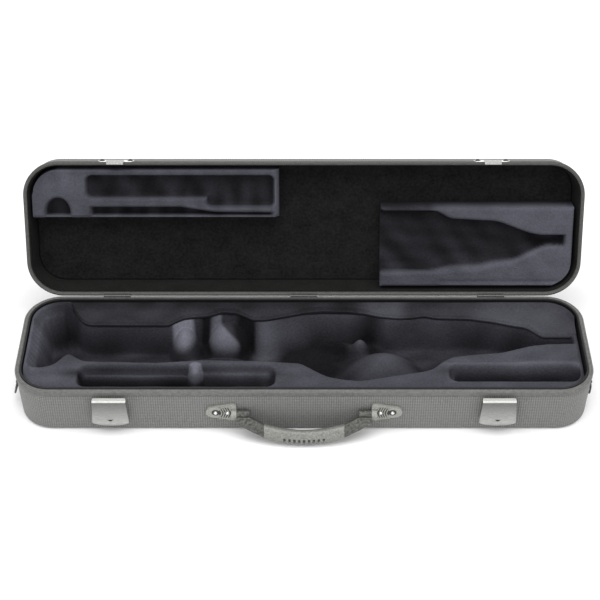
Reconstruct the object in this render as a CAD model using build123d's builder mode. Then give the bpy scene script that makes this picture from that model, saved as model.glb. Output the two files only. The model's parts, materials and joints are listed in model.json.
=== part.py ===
from build123d import *
from math import atan2, cos, radians, sin
import os

os.makedirs("parts", exist_ok=True)

# Case shells, in millimetres: the origin is the centre of the base's flat bottom
case_length = 680
case_depth = 170
corner_radius = 43
base_height = 64
base_wall = 5
base_floor = 4
base_lean = 3  # each wall stands this much further in at the bottom
base_bottom_round = 5
base_rim_round = 2.5
lid_height = 40
lid_wall = 4
lid_top = 3.5
lid_lean = 5  # each wall stands this much further in at the lid's top
lid_edge_round = 11
lid_rim_round = 2
parting_gap = 0.4
lid_open_angle = 111

# Lip inside the base's wall that finds the lid
lip_thickness = 2.4
lip_depth = 18
lip_rise = 1.2

# Velvet covered foam in the base
foam_margin = 0.37  # between the foam and the lower edge of the lip
foam_floor = 6
foam_drop = 7  # from the rim to the top of the foam
slot_floor = 24
tray_split_left = 65  # from the case's left end
tray_split_right = 70
tray_split_back = 16
tray_split_middle = -146
tray_end = 14  # from the case's right end to the ends of the hollow and of the right slot

# Lining, board and foam blocks in the lid
lining_thickness = 1.5
lining_start = 3  # below the rim
board_thickness = 3.5
board_step = 1  # the board's edge lies this far inside the blocks' edges
block_side_gap = 0.375
block_drop = 4  # from the rim to the face of the foam blocks
block_recess = 20.5

# Hinges
hinge_offset = 0.6  # from the back wall to the hinge axis
hinge_from_end = 109  # from the case's end to the middle of the outer hinges
hinge_length = 33
barrel_radius = 2.8
barrel_gap = 0.5
knuckle_length = 10
knuckle_gap = 0.3
hinge_pin_radius = 1.2
leaf_height = 22
leaf_start = 3.6
leaf_overlap = 1
leaf_thickness = 1.2
running_gap = 0.05
hinge_rivet_radius = 2
hinge_rivet_height = 1.1
hinge_rivet_spread = 21
hinge_rivet_rows = (-10, -19)

# Latches: places along the case, up the wall and out from the wall
latch_from_end = 113.5
latch_plate_top = -7.5
latch_plate_bottom = -48.5
latch_top_width = 39
latch_bottom_width = 43.5
latch_stand_off = 9.6
latch_sheet = 1.5
latch_lip_gap = 0.9  # from the catch's tongue to the tip of the bent top edge
latch_corner = 6.5
latch_belly = 1.6
latch_pivot_up = -25
latch_pivot_out = 4.6
latch_flange_half = 18.2
latch_flange_sheet = 1.4
latch_flange_rise = 8
latch_base_sheet = 1.4
latch_base_corner = 2
latch_base_half = 16
latch_base_top = -14
latch_base_bottom = -46
latch_ear_half = 14.5
latch_ear_sheet = 1.5
latch_ear_radius = 2.6
latch_pin_radius = 1.2
latch_dimple = 3.2
latch_dimple_rise = 8.5  # from the plate's lower edge
latch_dimple_depth = 0.5
spring_coils = 5
spring_wire = 0.4
spring_radius = 1.95
spring_pitch = 1.1

# Catches on the lid
catch_width = 43
catch_height = 12
catch_sheet = 1.2
catch_start = 0.8
catch_corner = 3
catch_rivet_spread = 34
tongue_width = 20
tongue_overlap = 2  # of the tongue behind the catch
tongue_stand_off = 0.7
hook_gap = 0.6  # below the latch plate's bent edge when the lid is shut
hook_hold = 3  # of the hook under the bent edge
hook_sheet = 1.2
rivet_radius = 3.2
rivet_height = 1.8
rivet_roundness = 0.85  # rounding of a rivet's edge as a share of its height

# Handle: mounts on the front wall and the part that swings
mount_inner = 79
mount_outer = 115
mount_centre = -32  # below the rim
mount_half_height = 13
mount_thickness = 3.2
mount_outer_round = 8
mount_inner_round = 4
mount_rivets = (89.5, 103.5)
mount_rivet_radius = 3.6
mount_rivet_height = 2
pivot_boss_radius = 4.8
boss_wall_gap = 0.4
pivot_boss_length = 6
pivot_pin_radius = 1.8
pivot_side_gap = 0.3
handle_hang_angle = 35  # forward of straight down
handle_eye_inner = 64
handle_end_thickness = 11
grip_drop = 27  # from the pivot axis to the middle of the grip
grip_rise = 7.5  # how much the grip's ends rise over its middle
grip_half = 47
grip_height = 16
grip_thickness = 16
grip_round = 5
end_top = 3.5  # edges of the handle's end pieces, below the swing axis
end_outer_drop = 11
end_knee_place = 61
end_knee_drop = 20.5
end_half_height = 7.5
rib_count = 9
rib_pitch = 5.9
rib_width = 2.6
rib_depth = 1.6

# Strap rings on both ends
ring_place = -29  # along the case's depth
ring_pivot_up = -31
ring_width = 26
ring_drop = 17
ring_wire = 1.15
ring_top_round = 3
ring_bottom_round = 9
bracket_width = 26
bracket_height = 13
bracket_sheet = 1.6
bracket_corner = 2.5
bracket_top = -17
bracket_tube_length = 14
bracket_tube_radius = 2.5
tube_wall_gap = 0.4
bracket_rivet_spread = 16
bracket_rivet_radius = 2
bracket_rivet_height = 1.1
ring_swing = (17, 0)  # how far each ring stands out, left then right

# Values worked out from the sizes above
half_length = case_length / 2
half_depth = case_depth / 2
hinge_place = half_length - hinge_from_end
hinge_places = (-hinge_place, 0, hinge_place)
latch_place = half_length - latch_from_end
hinge_y = half_depth + hinge_offset
hinge_axis = Axis((0, hinge_y, base_height), (1, 0, 0))
lid_bottom = base_height + parting_gap
base_lean_angle = atan2(base_lean, base_height)
lid_lean_angle = atan2(lid_lean, lid_height)
foam_bottom = base_floor + foam_floor
foam_top = base_height - foam_drop
board_back = lid_bottom + lid_height - lid_top
board_face = board_back - board_thickness
block_face = lid_bottom + block_drop
latch_lip_clear = tongue_stand_off + catch_sheet + latch_lip_gap
tongue_reach = hook_sheet + hook_gap + latch_sheet - latch_plate_top
hook_reach = latch_lip_clear + hook_hold
pivot_out = pivot_boss_radius + boss_wall_gap
ring_pivot_out = bracket_tube_radius + tube_wall_gap


def base_inset(height):
    return base_lean * (1 - height / base_height)


def lid_inset(height):
    return lid_lean * (height - lid_bottom) / lid_height


def case_outline(inset):
    RectangleRounded(case_length - 2 * inset, case_depth - 2 * inset, corner_radius - inset)


def from_left(distance):
    return distance - half_length


def from_right(distance):
    return half_length - distance


def from_front(distance):
    return distance - half_depth


def from_hinge(distance):
    return half_depth - distance


# Planes that lie on the outside of the walls, with their origin at the rim
base_out = cos(base_lean_angle)
base_down = -sin(base_lean_angle)
lid_out = cos(lid_lean_angle)
lid_up = sin(lid_lean_angle)
front_wall = Plane((0, -half_depth, base_height), x_dir=(1, 0, 0), z_dir=(0, -base_out, base_down))
back_wall = Plane((0, half_depth, base_height), x_dir=(-1, 0, 0), z_dir=(0, base_out, base_down))
left_wall = Plane((-half_length, 0, base_height), x_dir=(0, -1, 0), z_dir=(-base_out, 0, base_down))
right_wall = Plane((half_length, 0, base_height), x_dir=(0, 1, 0), z_dir=(base_out, 0, base_down))
lid_front_wall = Plane((0, -half_depth, lid_bottom), x_dir=(1, 0, 0), z_dir=(0, -lid_out, lid_up))
lid_back_wall = Plane((0, half_depth, lid_bottom), x_dir=(-1, 0, 0), z_dir=(0, lid_out, lid_up))


def write(piece, name):
    piece.label = name
    export_step(piece, f"parts/{name}.step")


def write_opened(piece, name):
    write(piece.rotate(hinge_axis, -lid_open_angle), name)


def rivet_heads(plane, places, radius, height):
    with BuildPart() as heads:
        with BuildSketch(plane):
            with Locations(*places):
                Circle(radius)
        extrude(amount=height)
        outer = heads.edges().group_by(Axis(plane.origin, plane.z_dir))[-1]
        fillet(outer, height * rivet_roundness)
    return heads.part


barrel_places = [(x, hinge_y, base_height) for x in hinge_places]
notch_radius = barrel_radius + barrel_gap
notch_length = hinge_length + 2 * barrel_gap

# Base shell: leaning walls, flat bottom, notches behind the hinge barrels
with BuildPart() as base_shell:
    for height in (0, base_height):
        with BuildSketch(Plane.XY.offset(height)):
            case_outline(base_inset(height))
    loft()
    fillet(base_shell.faces().sort_by(Axis.Z)[0].edges(), base_bottom_round)
    fillet(base_shell.faces().sort_by(Axis.Z)[-1].edges(), base_rim_round)
    for height in (base_floor, base_height):
        with BuildSketch(Plane.XY.offset(height)):
            case_outline(base_inset(height) + base_wall)
    loft(mode=Mode.SUBTRACT)
    with Locations(*barrel_places):
        Cylinder(notch_radius, notch_length, rotation=(0, 90, 0), mode=Mode.SUBTRACT)
write(base_shell.part, "base_shell")

# Lip that stands just above the base's rim, inside the wall
with BuildPart() as base_lip:
    for inset, mode in ((0, Mode.ADD), (lip_thickness, Mode.SUBTRACT)):
        for height in (base_height - lip_depth, base_height):
            with BuildSketch(Plane.XY.offset(height)):
                case_outline(base_inset(height) + base_wall + inset)
        loft(mode=mode)
    with BuildSketch(Plane.XY.offset(base_height)):
        case_outline(base_wall)
        offset(amount=-lip_thickness, mode=Mode.SUBTRACT)
    extrude(amount=lip_rise)
write(base_lip.part, "base_lip")

# Foam floor under the whole tray
foam_inset = base_inset(base_height - lip_depth) + base_wall + lip_thickness + foam_margin
with BuildPart() as foam_floor_pad:
    with BuildSketch(Plane.XY.offset(base_floor)):
        case_outline(foam_inset)
    extrude(amount=foam_floor)
write(foam_floor_pad.part, "tray_floor")

# Hollow for the instrument, bell to the left and neck to the right: places and corner radii
cavity_points = (
    ((from_left(19), from_hinge(15)), 22),
    ((from_left(19), -33), 14),
    ((from_left(40), -33), 12),
    ((from_left(59), -8), 9),
    ((from_left(78), -24), 12),
    ((-20, -23), 40),
    ((40, from_front(28)), 30),
    ((138, from_front(40)), 30),
    ((170, -18), 22),
    ((from_right(105), -12), 40),
    ((from_right(64), 8), 22),
    ((from_right(tray_end), 8), 3),
    ((from_right(tray_end), 24), 3),
    ((from_right(52), 24), 10),
    ((from_right(74), 46), 20),
    ((112, from_hinge(28)), 30),
    ((72, from_hinge(17)), 22),
    ((-18, from_hinge(17)), 14),
    ((-44, from_hinge(29)), 12),
    ((-78, from_hinge(15)), 14),
    ((-132, from_hinge(15)), 14),
    ((-160, 44), 12),
    ((from_left(78), 44), 12),
    ((from_left(56), from_hinge(15)), 16),
)
tray_height = foam_top - foam_bottom
with BuildSketch(Plane.XY.offset(foam_bottom)) as cavity:
    with BuildLine():
        FilletPolyline(
            [point for point, radius in cavity_points],
            radius=[radius for point, radius in cavity_points],
            close=True,
        )
    make_face()

# Two long slots for small things in front of the hollow
slot_places = (
    (from_left(73), -34, from_front(16.5), from_front(55)),
    (171, from_right(tray_end), from_front(26), from_front(57)),
)
slot_round = 13
with BuildSketch(Plane.XY.offset(slot_floor)) as slots:
    for low_x, high_x, low_y, high_y in slot_places:
        with Locations(((low_x + high_x) / 2, (low_y + high_y) / 2)):
            RectangleRounded(high_x - low_x, high_y - low_y, slot_round)

# Foam blocks of the tray, glued together under the velvet
bell_split = from_left(tray_split_left)
end_split = from_right(tray_end)
tray_blocks = {
    "tray_bell_end": (-half_length, bell_split, -half_depth, half_depth),
    "tray_back_left": (bell_split, tray_split_middle, tray_split_back, half_depth),
    "tray_back_right": (tray_split_middle, end_split, tray_split_back, half_depth),
    "tray_front_left": (bell_split, tray_split_right, -half_depth, tray_split_back),
    "tray_front_right": (tray_split_right, end_split, -half_depth, tray_split_back),
    "tray_neck_end": (end_split, half_length, -half_depth, half_depth),
}
for name, (low_x, high_x, low_y, high_y) in tray_blocks.items():
    with BuildPart() as tray_block:
        with BuildSketch(Plane.XY.offset(foam_bottom)):
            case_outline(foam_inset)
            with Locations(((low_x + high_x) / 2, (low_y + high_y) / 2)):
                Rectangle(high_x - low_x, high_y - low_y, mode=Mode.INTERSECT)
            add(cavity.sketch, mode=Mode.SUBTRACT)
        extrude(amount=tray_height)
        extrude(slots.sketch, amount=foam_top - slot_floor, mode=Mode.SUBTRACT)
    write(tray_block.part, name)

# Sloped rests that carry the body of the instrument: each is a wedge along X
rest_step = 5  # the wedge stays this far above the floor at its thin end
rest_crown = 0.62  # share of the wedge's rise that is left at the middle of its slope
rests = {
    "tray_rest_left": (-158, -134, from_hinge(44), 2, 34),
    "tray_rest_middle": (-112, -84, from_hinge(19), 10, 34),
    "tray_rest_right": (-40, 62, from_hinge(31), 12, 36),
    "tray_rest_front": (74, 134, from_front(47), 2, 30),
}
for name, (low_x, high_x, high_y, low_y, rise) in rests.items():
    with BuildPart() as tray_rest:
        with BuildSketch(Plane.YZ.offset(low_x)):
            with BuildLine():
                Polyline(
                    (low_y, foam_bottom + rest_step),
                    (low_y, foam_bottom),
                    (high_y, foam_bottom),
                    (high_y, foam_bottom + rise),
                )
                crown = foam_bottom + rest_step + (rise - rest_step) * rest_crown
                ThreePointArc(
                    (high_y, foam_bottom + rise),
                    ((high_y + low_y) / 2, crown),
                    (low_y, foam_bottom + rest_step),
                )
            make_face()
        extrude(amount=high_x - low_x)
    write(tray_rest.part, name)

# Lid shell, made shut and then turned open with all it carries
with BuildPart() as lid_shell:
    for height in (lid_bottom, lid_bottom + lid_height):
        with BuildSketch(Plane.XY.offset(height)):
            case_outline(lid_inset(height))
    loft()
    fillet(lid_shell.faces().sort_by(Axis.Z)[-1].edges(), lid_edge_round)
    fillet(lid_shell.faces().sort_by(Axis.Z)[0].edges(), lid_rim_round)
    for height in (lid_bottom, board_back):
        with BuildSketch(Plane.XY.offset(height)):
            case_outline(lid_inset(height) + lid_wall)
    loft(mode=Mode.SUBTRACT)
    with Locations(*barrel_places):
        Cylinder(notch_radius, notch_length, rotation=(0, 90, 0), mode=Mode.SUBTRACT)
write_opened(lid_shell.part, "lid_shell")

# Cloth lining on the lid's inner wall, between the rim and the board
with BuildPart() as lid_lining:
    for inset, mode in ((0, Mode.ADD), (lining_thickness, Mode.SUBTRACT)):
        for height in (lid_bottom + lining_start, board_face):
            with BuildSketch(Plane.XY.offset(height)):
                case_outline(lid_inset(height) + lid_wall + inset)
        loft(mode=mode)
write_opened(lid_lining.part, "lid_wall_lining")

# Velvet covered board in the lid's top
block_margin = lid_inset(board_face) + lid_wall + lining_thickness + block_side_gap
board_margin = block_margin + board_step
with BuildPart() as lid_board:
    with BuildSketch(Plane.XY.offset(board_face)):
        case_outline(board_margin)
    extrude(amount=board_back - board_face)
write_opened(lid_board.part, "lid_board")

# Foam blocks on the board, with their recesses
left_block_end = -29
left_block_back = from_front(71)
right_block_start = 94
right_block_front = from_hinge(112)
long_recess = (
    ((from_left(74), from_front(48)), 6),
    ((-132, from_front(48)), 5),
    ((-118, from_front(59)), 5),
    ((-35, from_front(59)), 6),
    ((-35, from_front(17)), 6),
    ((from_left(74), from_front(17)), 8),
)
edge_recess = (
    ((from_left(72), from_front(80)), 1),
    ((from_left(78), from_front(58)), 5),
    ((-160, from_front(56.5)), 30),
    ((-124, from_front(66)), 8),
    ((-40, from_front(67)), 3),
    ((-40, from_front(80)), 1),
)
arch_recess = (
    ((from_left(23), from_front(80)), 1),
    ((from_left(23), from_front(58)), 6),
    ((from_left(38), from_front(44)), 7),
    ((from_left(54), from_front(58)), 8),
    ((from_left(57), from_front(80)), 1),
)
bottle_recess = (
    ((84, from_hinge(108)), 1),
    ((163, from_hinge(108)), 5),
    ((177, from_hinge(97.5)), 8),
    ((from_right(104), from_hinge(95)), 20),
    ((from_right(65), from_hinge(78)), 10),
    ((from_right(19), from_hinge(77)), 4),
    ((from_right(19), from_hinge(61)), 4),
    ((from_right(51), from_hinge(58)), 9),
    ((from_right(83), from_hinge(40)), 12),
    ((from_right(126), from_hinge(29)), 20),
    ((84, from_hinge(27)), 1),
)
lid_blocks = {
    "lid_block_left": (
        (-half_length, left_block_end, -half_depth, left_block_back),
        (long_recess, edge_recess, arch_recess),
    ),
    "lid_block_right": (
        (right_block_start, half_length, right_block_front, half_depth),
        (bottle_recess,),
    ),
}
for name, ((low_x, high_x, low_y, high_y), recesses) in lid_blocks.items():
    with BuildPart() as lid_block:
        with BuildSketch(Plane.XY.offset(block_face)):
            case_outline(block_margin)
            with Locations(((low_x + high_x) / 2, (low_y + high_y) / 2)):
                Rectangle(high_x - low_x, high_y - low_y, mode=Mode.INTERSECT)
        extrude(amount=board_face - block_face)
        for recess in recesses:
            with BuildSketch(Plane.XY.offset(block_face)):
                with BuildLine():
                    FilletPolyline(
                        [point for point, radius in recess],
                        radius=[radius for point, radius in recess],
                        close=True,
                    )
                make_face()
            extrude(amount=block_recess, mode=Mode.SUBTRACT)
    write_opened(lid_block.part, name)

# Hinges: two knuckles on the base's leaf, one on the lid's, and a pin through all three
barrel_bore = hinge_pin_radius + running_gap
middle_knuckle = hinge_length - 2 * knuckle_length - 2 * knuckle_gap
outer_knuckle_centre = (hinge_length - knuckle_length) / 2
leaf_sides = (
    ("base_hinge_leaves", back_wall, -1, (-outer_knuckle_centre, outer_knuckle_centre), knuckle_length),
    ("lid_hinge_leaves", lid_back_wall, 1, (0,), middle_knuckle),
)
for name, wall, way, knuckles, length in leaf_sides:
    with BuildPart() as leaves:
        knuckle_places = [place + knuckle for place in hinge_places for knuckle in knuckles]
        leaf_centre = way * (leaf_start + leaf_height) / 2
        with BuildSketch(wall):
            with Locations(*[(place, leaf_centre) for place in hinge_places]):
                Rectangle(hinge_length, leaf_height - leaf_start)
            with Locations(*[(place, way * leaf_start / 2) for place in knuckle_places]):
                Rectangle(length, leaf_start + leaf_overlap)
        extrude(amount=leaf_thickness)
        with Locations(*[(place, hinge_y, base_height) for place in knuckle_places]):
            Cylinder(barrel_radius, length, rotation=(0, 90, 0))
        with Locations(*[(place, hinge_y, base_height) for place in knuckle_places]):
            Cylinder(barrel_bore, length, rotation=(0, 90, 0), mode=Mode.SUBTRACT)
    if way < 0:
        write(leaves.part, name)
    else:
        write_opened(leaves.part, name)

with BuildPart() as hinge_pins:
    with Locations(*barrel_places):
        Cylinder(hinge_pin_radius, hinge_length, rotation=(0, 90, 0))
write(hinge_pins.part, "hinge_pins")

rivet_columns = (-hinge_rivet_spread / 2, hinge_rivet_spread / 2)
base_rivet_places = [
    (x + column, row) for x in hinge_places for column in rivet_columns for row in hinge_rivet_rows
]
lid_rivet_places = [(x, -row) for x, row in base_rivet_places]
base_leaf_face = back_wall.offset(leaf_thickness)
lid_leaf_face = lid_back_wall.offset(leaf_thickness)
base_rivets = rivet_heads(base_leaf_face, base_rivet_places, hinge_rivet_radius, hinge_rivet_height)
lid_rivets = rivet_heads(lid_leaf_face, lid_rivet_places, hinge_rivet_radius, hinge_rivet_height)
write(base_rivets, "base_hinge_rivets")
write_opened(lid_rivets, "lid_hinge_rivets")


def along_x(x, up, out):
    return Plane(front_wall.from_local_coords((x, up, out)), x_dir=front_wall.y_dir, z_dir=(1, 0, 0))


# Latches: a sprung plate on two ears, whose bent top edge holds the catch
for side, centre in (("left", -latch_place), ("right", latch_place)):
    with BuildPart() as latch_base:
        with BuildSketch(front_wall):
            with Locations((centre, (latch_base_top + latch_base_bottom) / 2)):
                height = latch_base_top - latch_base_bottom
                RectangleRounded(2 * latch_base_half, height, latch_base_corner)
        extrude(amount=latch_base_sheet)
        for way in (-1, 1):
            inner = centre + way * latch_ear_half - (latch_ear_sheet if way > 0 else 0)
            with BuildSketch(along_x(inner, latch_pivot_up, latch_pivot_out)):
                Circle(latch_ear_radius)
                with Locations((0, -latch_pivot_out / 2)):
                    Rectangle(2 * latch_ear_radius, latch_pivot_out)
                Circle(latch_pin_radius, mode=Mode.SUBTRACT)
            extrude(amount=latch_ear_sheet)
    write(latch_base.part, f"latch_base_{side}")

    with BuildPart() as latch_pin:
        with BuildSketch(along_x(centre - latch_flange_half, latch_pivot_up, latch_pivot_out)):
            Circle(latch_pin_radius)
        extrude(amount=2 * latch_flange_half)
    write(latch_pin.part, f"latch_pin_{side}")

    with BuildPart() as latch_spring:
        coil_length = spring_coils * spring_pitch
        coil_plane = along_x(centre - coil_length / 2, latch_pivot_up, latch_pivot_out)
        with BuildLine():
            coil = Helix(spring_pitch, coil_length, spring_radius, coil_plane.origin, coil_plane.z_dir)
        with BuildSketch(Plane(origin=coil @ 0, z_dir=coil % 0)):
            Circle(spring_wire)
        sweep(path=coil)
    write(latch_spring.part, f"latch_spring_{side}")

    with BuildPart() as latch_plate:
        with BuildSketch(front_wall.offset(latch_stand_off - latch_sheet)):
            with BuildLine():
                top_left = (centre - latch_top_width / 2, latch_plate_top)
                top_right = (centre + latch_top_width / 2, latch_plate_top)
                bottom_right = (centre + latch_bottom_width / 2, latch_plate_bottom + latch_belly)
                bottom_left = (centre - latch_bottom_width / 2, latch_plate_bottom + latch_belly)
                Polyline(bottom_left, top_left, top_right, bottom_right)
                ThreePointArc(bottom_right, (centre, latch_plate_bottom), bottom_left)
            make_face()
        extrude(amount=latch_sheet)
        low_corners = latch_plate.edges().filter_by(Axis(front_wall.origin, front_wall.z_dir))
        fillet(low_corners.group_by(Axis.Z)[0], latch_corner)
        with BuildSketch(front_wall.offset(latch_lip_clear)):
            with Locations((centre, latch_plate_top - latch_sheet / 2)):
                Rectangle(latch_top_width, latch_sheet)
        extrude(amount=latch_stand_off - latch_sheet - latch_lip_clear)
        for way in (-1, 1):
            inner = centre + way * latch_flange_half - (latch_flange_sheet if way > 0 else 0)
            with BuildSketch(along_x(inner, latch_pivot_up, latch_pivot_out)):
                Circle(latch_ear_radius)
                flange_reach = latch_stand_off - latch_sheet - latch_pivot_out
                with Locations((0, flange_reach / 2)):
                    Rectangle(2 * latch_flange_rise, flange_reach)
                Circle(latch_pin_radius + running_gap, mode=Mode.SUBTRACT)
            extrude(amount=latch_flange_sheet)
        with BuildSketch(front_wall.offset(latch_stand_off)):
            with Locations((centre, latch_plate_bottom + latch_dimple_rise)):
                RegularPolygon(latch_dimple, 3, rotation=-90)
        extrude(amount=-latch_dimple_depth, mode=Mode.SUBTRACT)
    write(latch_plate.part, f"latch_plate_{side}")

    with BuildPart() as catch:
        with BuildSketch(lid_front_wall):
            with Locations((centre, catch_start + catch_height / 2)):
                RectangleRounded(catch_width, catch_height, catch_corner)
        extrude(amount=catch_sheet)
        with BuildSketch(front_wall.offset(tongue_stand_off)):
            tongue_top = catch_start + tongue_overlap
            with Locations((centre, (tongue_top - tongue_reach) / 2)):
                Rectangle(tongue_width, tongue_reach + tongue_top)
        extrude(amount=catch_sheet)
        with BuildSketch(front_wall.offset(tongue_stand_off)):
            with Locations((centre, -tongue_reach + hook_sheet / 2)):
                Rectangle(tongue_width, hook_sheet)
        extrude(amount=hook_reach - tongue_stand_off)
    write_opened(catch.part, f"catch_{side}")

catch_rivet_places = [
    (way * latch_place + column * catch_rivet_spread / 2, catch_start + catch_height / 2)
    for way in (-1, 1)
    for column in (-1, 1)
]
catch_face = lid_front_wall.offset(catch_sheet)
catch_rivets = rivet_heads(catch_face, catch_rivet_places, rivet_radius, rivet_height)
write_opened(catch_rivets, "catch_rivets")

# Handle mounts, with a boss and a pin on the swing axis
for side, way in (("left", -1), ("right", 1)):
    with BuildPart() as handle_mount:
        with BuildSketch(front_wall):
            with Locations((way * (mount_outer - mount_outer_round), mount_centre)):
                Circle(mount_outer_round)
            corner_x = way * (mount_inner + mount_inner_round)
            corner_up = mount_half_height - mount_inner_round
            corner_low = (corner_x, mount_centre - corner_up)
            with Locations(corner_low, (corner_x, mount_centre + corner_up)):
                Circle(mount_inner_round)
            make_hull()
        extrude(amount=mount_thickness)
        start = mount_inner if way > 0 else -mount_inner - pivot_boss_length
        with BuildSketch(along_x(start, mount_centre, pivot_out)):
            Circle(pivot_boss_radius)
        extrude(amount=pivot_boss_length)
    write(handle_mount.part, f"handle_mount_{side}")

    with BuildPart() as pivot_pin:
        start = handle_eye_inner + pivot_side_gap if way > 0 else -mount_inner
        with BuildSketch(along_x(start, mount_centre, pivot_out)):
            Circle(pivot_pin_radius)
        extrude(amount=mount_inner - handle_eye_inner - pivot_side_gap)
    write(pivot_pin.part, f"handle_pin_{side}")

# The handle's own plane: x along the case, y away from where it hangs, through the pivot axis
pivot_point = front_wall.from_local_coords((0, mount_centre, pivot_out))
handle_plane = Plane(
    origin=pivot_point,
    x_dir=(1, 0, 0),
    z_dir=(0, -cos(radians(handle_hang_angle)), sin(radians(handle_hang_angle))),
)
grip_radius = (grip_half**2 + grip_rise**2) / (2 * grip_rise)


def grip_line(x, across):
    return -grip_drop - across + grip_radius - (grip_radius**2 - x**2) ** 0.5


eye_outer = mount_inner - pivot_side_gap
for side, way in (("left", -1), ("right", 1)):
    with BuildPart() as handle_end:
        with BuildSketch(handle_plane.offset(-handle_end_thickness / 2)):
            with BuildLine():
                Polyline(
                    (way * eye_outer, -end_top),
                    (way * eye_outer, -end_outer_drop),
                    (way * end_knee_place, -end_knee_drop),
                    (way * grip_half, grip_line(grip_half, end_half_height)),
                    (way * grip_half, grip_line(grip_half, -end_half_height)),
                    (way * handle_eye_inner, -end_top),
                    close=True,
                )
            make_face()
        extrude(amount=handle_end_thickness)
        start = handle_eye_inner if way > 0 else -eye_outer
        eye_plane = along_x(start, mount_centre, pivot_out)
        with BuildSketch(eye_plane):
            Circle(pivot_boss_radius)
        extrude(amount=eye_outer - handle_eye_inner)
        with BuildSketch(eye_plane):
            Circle(pivot_pin_radius + running_gap)
        extrude(amount=eye_outer - handle_eye_inner, mode=Mode.SUBTRACT)
    write(handle_end.part, f"handle_end_{side}")

# Grip: a bowed bar with rounded edges and finger ribs on its underside
with BuildPart() as handle_grip:
    with BuildSketch(handle_plane.offset(-grip_thickness / 2)):
        with BuildLine():
            low = [(x, grip_line(x, grip_height / 2)) for x in (-grip_half, 0, grip_half)]
            high = [(x, grip_line(x, -grip_height / 2)) for x in (-grip_half, 0, grip_half)]
            ThreePointArc(*low)
            Line(low[2], high[2])
            ThreePointArc(*reversed(high))
            Line(high[0], low[0])
        make_face()
    extrude(amount=grip_thickness)
    fillet(handle_grip.edges().filter_by(GeomType.CIRCLE), grip_round)
    rib_xs = [(rib - (rib_count - 1) / 2) * rib_pitch for rib in range(rib_count)]
    with BuildSketch(handle_plane.offset(-grip_thickness / 2 + grip_round)):
        with Locations(*[(x, grip_line(x, grip_height / 2)) for x in rib_xs]):
            Rectangle(rib_width, 2 * rib_depth)
    extrude(amount=grip_thickness - 2 * grip_round, mode=Mode.SUBTRACT)
write(handle_grip.part, "handle_grip")

mount_rivet_places = [(way * x, mount_centre) for way in (-1, 1) for x in mount_rivets]
mount_face = front_wall.offset(mount_thickness)
mount_rivets_part = rivet_heads(mount_face, mount_rivet_places, mount_rivet_radius, mount_rivet_height)
write(mount_rivets_part, "handle_mount_rivets")

# Strap rings on the end walls: a folded bracket round the ring's straight side
ring_sides = (("left", left_wall, -1, ring_swing[0]), ("right", right_wall, 1, ring_swing[1]))
for side, wall, way, swing in ring_sides:
    across = way * ring_place
    bar_middle = wall.from_local_coords((across, ring_pivot_up, ring_pivot_out))
    bar_plane = Plane(origin=bar_middle, x_dir=wall.y_dir, z_dir=wall.x_dir)
    with BuildPart() as ring_bracket:
        with BuildSketch(wall):
            with Locations((across, bracket_top - bracket_height / 2)):
                RectangleRounded(bracket_width, bracket_height, bracket_corner)
            with Locations((across, (bracket_top - bracket_height + ring_pivot_up) / 2)):
                Rectangle(bracket_tube_length, bracket_tube_radius)
        extrude(amount=bracket_sheet)
        with BuildSketch(bar_plane.offset(-bracket_tube_length / 2)):
            Circle(bracket_tube_radius)
        extrude(amount=bracket_tube_length)
        with BuildSketch(bar_plane.offset(-bracket_tube_length / 2)):
            Circle(ring_wire + running_gap)
        extrude(amount=bracket_tube_length, mode=Mode.SUBTRACT)
    write(ring_bracket.part, f"ring_bracket_{side}")

    # The ring hangs in a plane through its bar, turned out by its swing
    lean = radians(swing)
    ring_plane = Plane(origin=bar_middle, x_dir=(0, 1, 0), z_dir=(way * cos(lean), 0, sin(lean)))
    drop_way = -1 if ring_plane.y_dir.Z > 0 else 1
    with BuildPart() as strap_ring:
        half = ring_width / 2
        with BuildLine(ring_plane):
            ring_path = FilletPolyline(
                (half, 0),
                (half, drop_way * ring_drop),
                (-half, drop_way * ring_drop),
                (-half, 0),
                radius=[ring_top_round, ring_bottom_round, ring_bottom_round, ring_top_round],
                close=True,
            )
        with BuildSketch(Plane(origin=ring_path @ 0, z_dir=ring_path % 0)):
            Circle(ring_wire)
        sweep(path=ring_path)
    write(strap_ring.part, f"strap_ring_{side}")

bracket_rivet_places = [
    (ring_place + column * bracket_rivet_spread / 2, bracket_top - bracket_height / 2) for column in (-1, 1)
]
for side, wall, way, swing in ring_sides:
    places = [(way * across, up) for across, up in bracket_rivet_places]
    face = wall.offset(bracket_sheet)
    bracket_rivets = rivet_heads(face, places, bracket_rivet_radius, bracket_rivet_height)
    write(bracket_rivets, f"ring_bracket_rivets_{side}")
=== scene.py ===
import json
import math

import bmesh
import bpy
import numpy as np
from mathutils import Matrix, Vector


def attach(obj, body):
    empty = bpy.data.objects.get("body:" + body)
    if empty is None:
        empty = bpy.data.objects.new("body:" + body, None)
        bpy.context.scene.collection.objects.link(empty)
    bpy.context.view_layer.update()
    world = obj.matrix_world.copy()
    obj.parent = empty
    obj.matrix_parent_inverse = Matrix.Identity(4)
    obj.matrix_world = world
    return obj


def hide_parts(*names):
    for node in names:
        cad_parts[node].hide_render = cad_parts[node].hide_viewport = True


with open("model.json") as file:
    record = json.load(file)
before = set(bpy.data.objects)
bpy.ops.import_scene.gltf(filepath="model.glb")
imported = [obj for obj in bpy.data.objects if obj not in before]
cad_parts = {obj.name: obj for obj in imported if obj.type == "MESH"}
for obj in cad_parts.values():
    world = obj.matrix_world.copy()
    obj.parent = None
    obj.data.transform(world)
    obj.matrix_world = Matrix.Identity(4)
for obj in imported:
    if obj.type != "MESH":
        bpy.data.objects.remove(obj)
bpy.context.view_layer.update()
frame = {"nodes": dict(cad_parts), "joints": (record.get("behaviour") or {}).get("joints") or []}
nodes = frame["nodes"]
mm = 0.001
print("frame loaded")

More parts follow.
